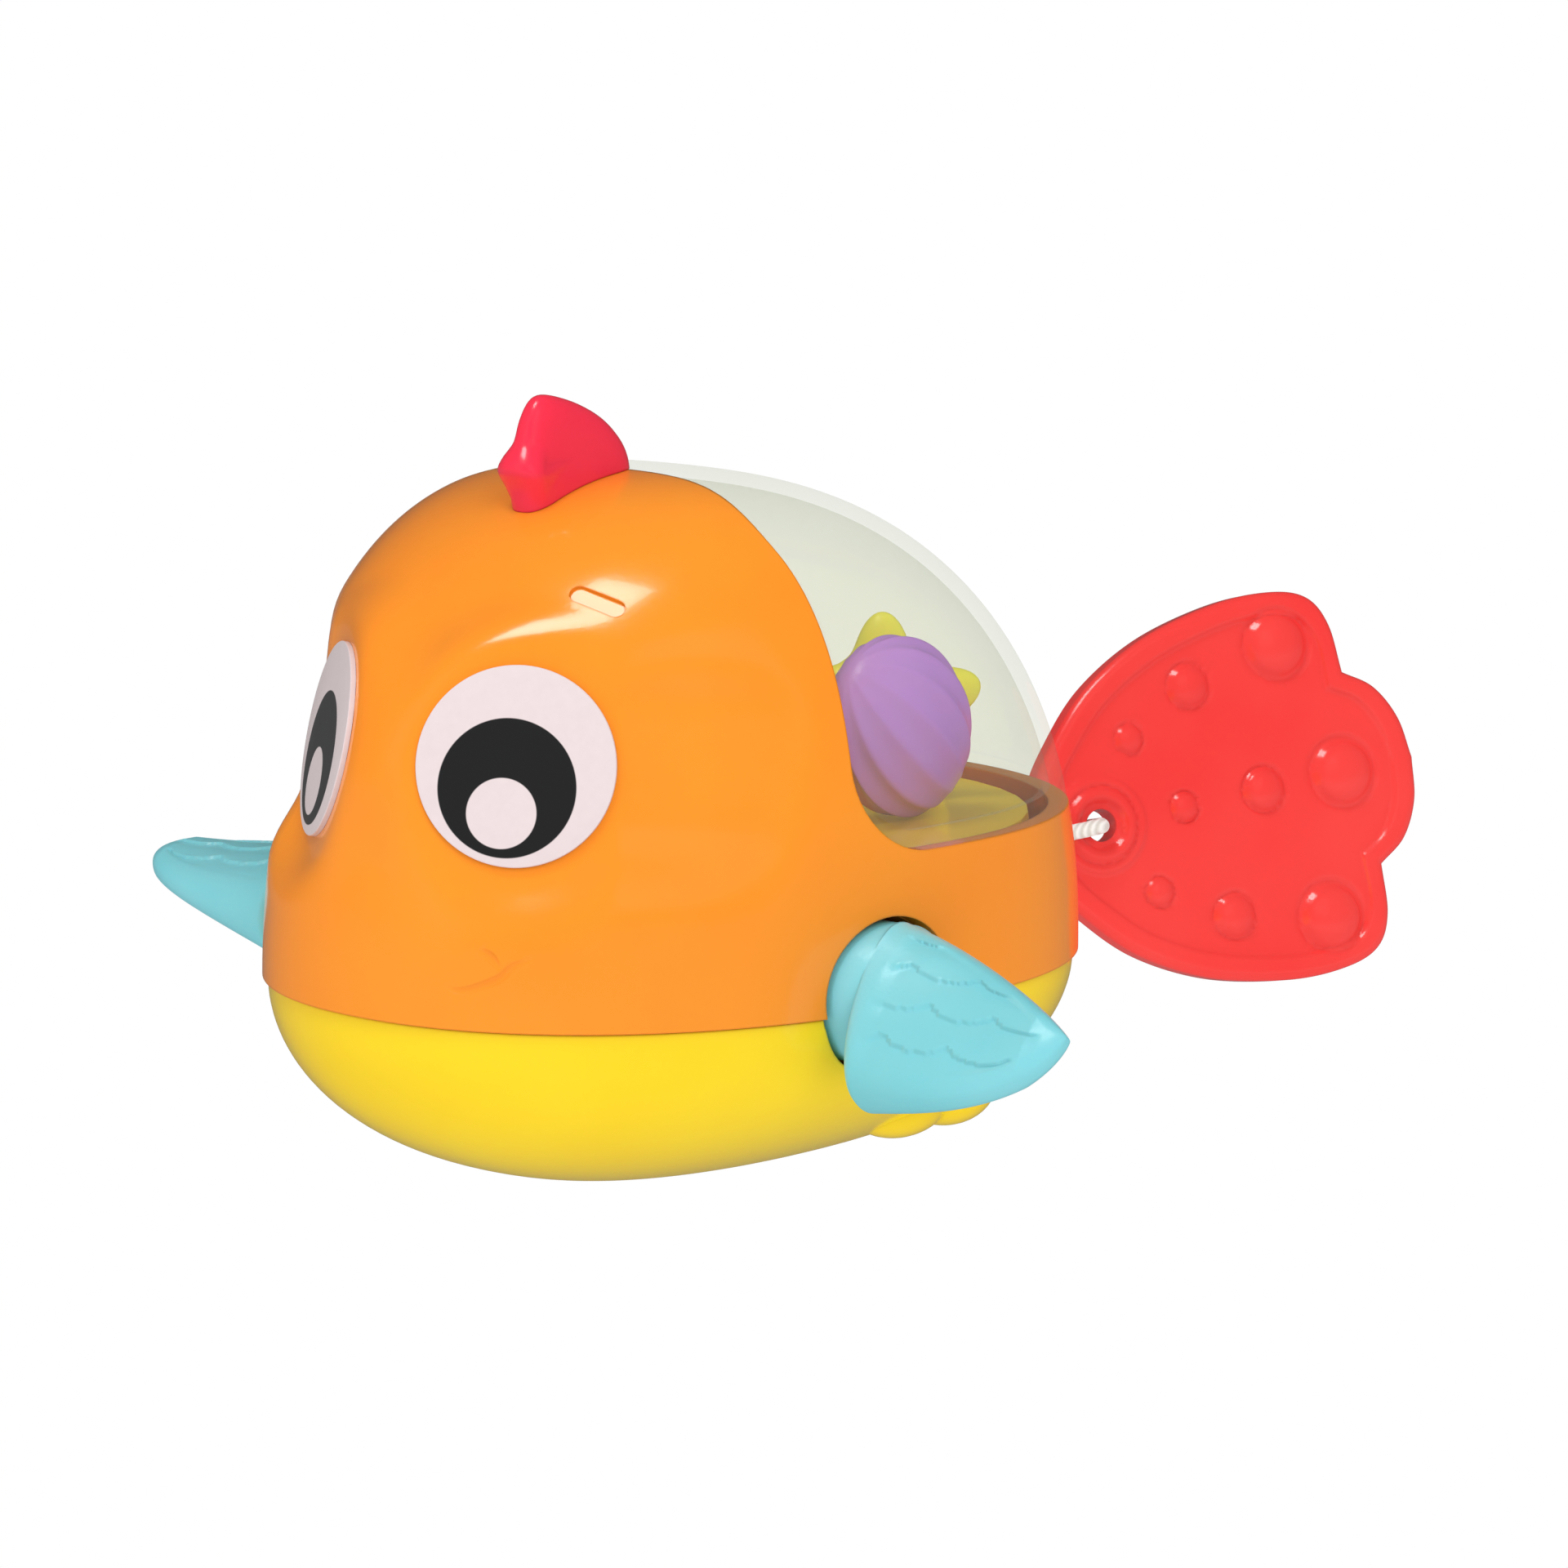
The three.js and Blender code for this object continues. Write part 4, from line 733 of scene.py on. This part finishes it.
rings = []
for face in (1, -1):
    shares = [math.sin(math.pi / 2 * k / 24) for k in range(2, 25)]
    for share in shares if face == 1 else shares[-2::-1]:
        ring = []
        for a in turn:
            reach = share * (8.4 + 4.6 * (0.5 + 0.5 * math.cos(5 * (a - math.pi / 2))) ** 1.4)
            ring.append((
                reach * math.cos(a), -face * 3 * math.sqrt(1 - share ** 2.4), reach * math.sin(a)))
        rings.append(ring)
starfish = skin("starfish_puff", rings)
starfish_place = Matrix.Translation((0.0135, 0.0185, 0.0549))
starfish.matrix_world = starfish_place @ Matrix.Rotation(math.radians(42), 4, "Z")
finish_piece(starfish, "starfish_piece", star_yellow, "starfish", slot="yellow_green", angle=60)

rings = []
for k in range(1, 40):
    a = math.pi * k / 40
    rings.append([
        (5.5 * math.sin(a) * math.cos(b) + 4, -9 * math.cos(a) - 2, 12.5 * math.sin(a) * math.sin(b) + 56.8)
        for b in turn])
minnow = skin("minnow", rings)
carve(minnow, skin("minnow_tail", [
    [(4 + 0.4 * r * math.cos(b), y, 56.8 + r * math.sin(b)) for b in turn]
    for y, r in ((-9, 1.6), (-13, 5), (-15.8, 7.2), (-16.3, 7))]), "UNION")
finish_piece(minnow, "small_fish_piece", small_teal, "teal_fish", slot="teal", angle=60)

# Inner pieces
# The tray, wells, gears, frame and screws keep their CAD shape and take a moulded or turned
# finish.
finishes = {
    "yellow_tray": tray_yellow, "inner_orange": inner_orange, "gasket": gasket_rubber, "seal": seal_rubber,
    "white_gear": gear_white, "grey_frame": frame_grey, "steel": steel, "white_cord": white_cord,
}
for entry in frame["record"]["subparts"]:
    node = frame["nodes"][entry["node"]]
    if entry["material_slot"] in finishes:
        node.data.materials.clear()
        node.data.materials.append(finishes[entry["material_slot"]])

# Stage
# A lit white table under the fish, and large soft lights above and beside it.
floor_corners = [(-4000, -4000, 0), (4000, -4000, 0), (4000, 4000, 0), (-4000, 4000, 0)]
floor_mesh = mesh_piece("floor", floor_corners, [(0, 1, 2, 3)])
floor_mesh.location.z = -0.0002
pale, tree, output = new_material("pale_floor")
rays = put(tree, "ShaderNodeLightPath")
mirrored = put(tree, "ShaderNodeMapRange", {"Value": rays.outputs["Is Glossy Ray"]}, To_Min=1.15, To_Max=0.15)
level = put(tree, "ShaderNodeMix", {
    "Factor": rays.outputs["Is Camera Ray"], "A": mirrored.outputs["Result"]}, data_type="FLOAT", B=1.0)
plain = put(tree, "ShaderNodeEmission", {"Strength": level.outputs["Result"]}, Color=(1, 1, 1, 1))
tree.links.new(plain.outputs["Emission"], output.inputs["Surface"])
floor_mesh.data.materials.append(pale)

world = bpy.data.worlds.new("studio")
scene.world = world
world.use_nodes = True
tree = world.node_tree
background = tree.nodes["Background"]
rays = put(tree, "ShaderNodeLightPath")
through_clear = put(
    tree, "ShaderNodeMath", {0: rays.outputs["Is Camera Ray"], 1: rays.outputs["Is Transmission Ray"]},
    operation="MAXIMUM")
soft = put(tree, "ShaderNodeMapRange", {"Value": rays.outputs["Is Glossy Ray"]}, To_Min=0.52, To_Max=0.08)
glow = put(tree, "ShaderNodeMix", {
    "Factor": through_clear.outputs["Value"], "A": soft.outputs["Result"]}, data_type="FLOAT", B=1.0)
tree.links.new(glow.outputs["Result"], background.inputs["Strength"])
background.inputs["Color"].default_value = (1, 1, 1, 1)


def softbox(name, place, power, width, height, shine=False):
    lamp = bpy.data.lights.new(name, "AREA")
    lamp.shape = "RECTANGLE"
    lamp.size, lamp.size_y = width, height
    lamp.energy = power
    made = bpy.data.objects.new(name, lamp)
    scene.collection.objects.link(made)
    made.location = place
    made.visible_glossy = shine
    made.rotation_euler = (at(0, 0, 20) - Vector(place)).to_track_quat("-Z", "Y").to_euler()


softbox("overhead", (-0.035, -0.37, 0.93), 2.6, 0.3, 0.3, shine=True)
softbox("camera_side", (0.9, -0.5, 0.7), 6, 0.7, 0.7)
softbox("front", (-0.3, -1.1, 0.5), 2.2, 0.6, 0.8)
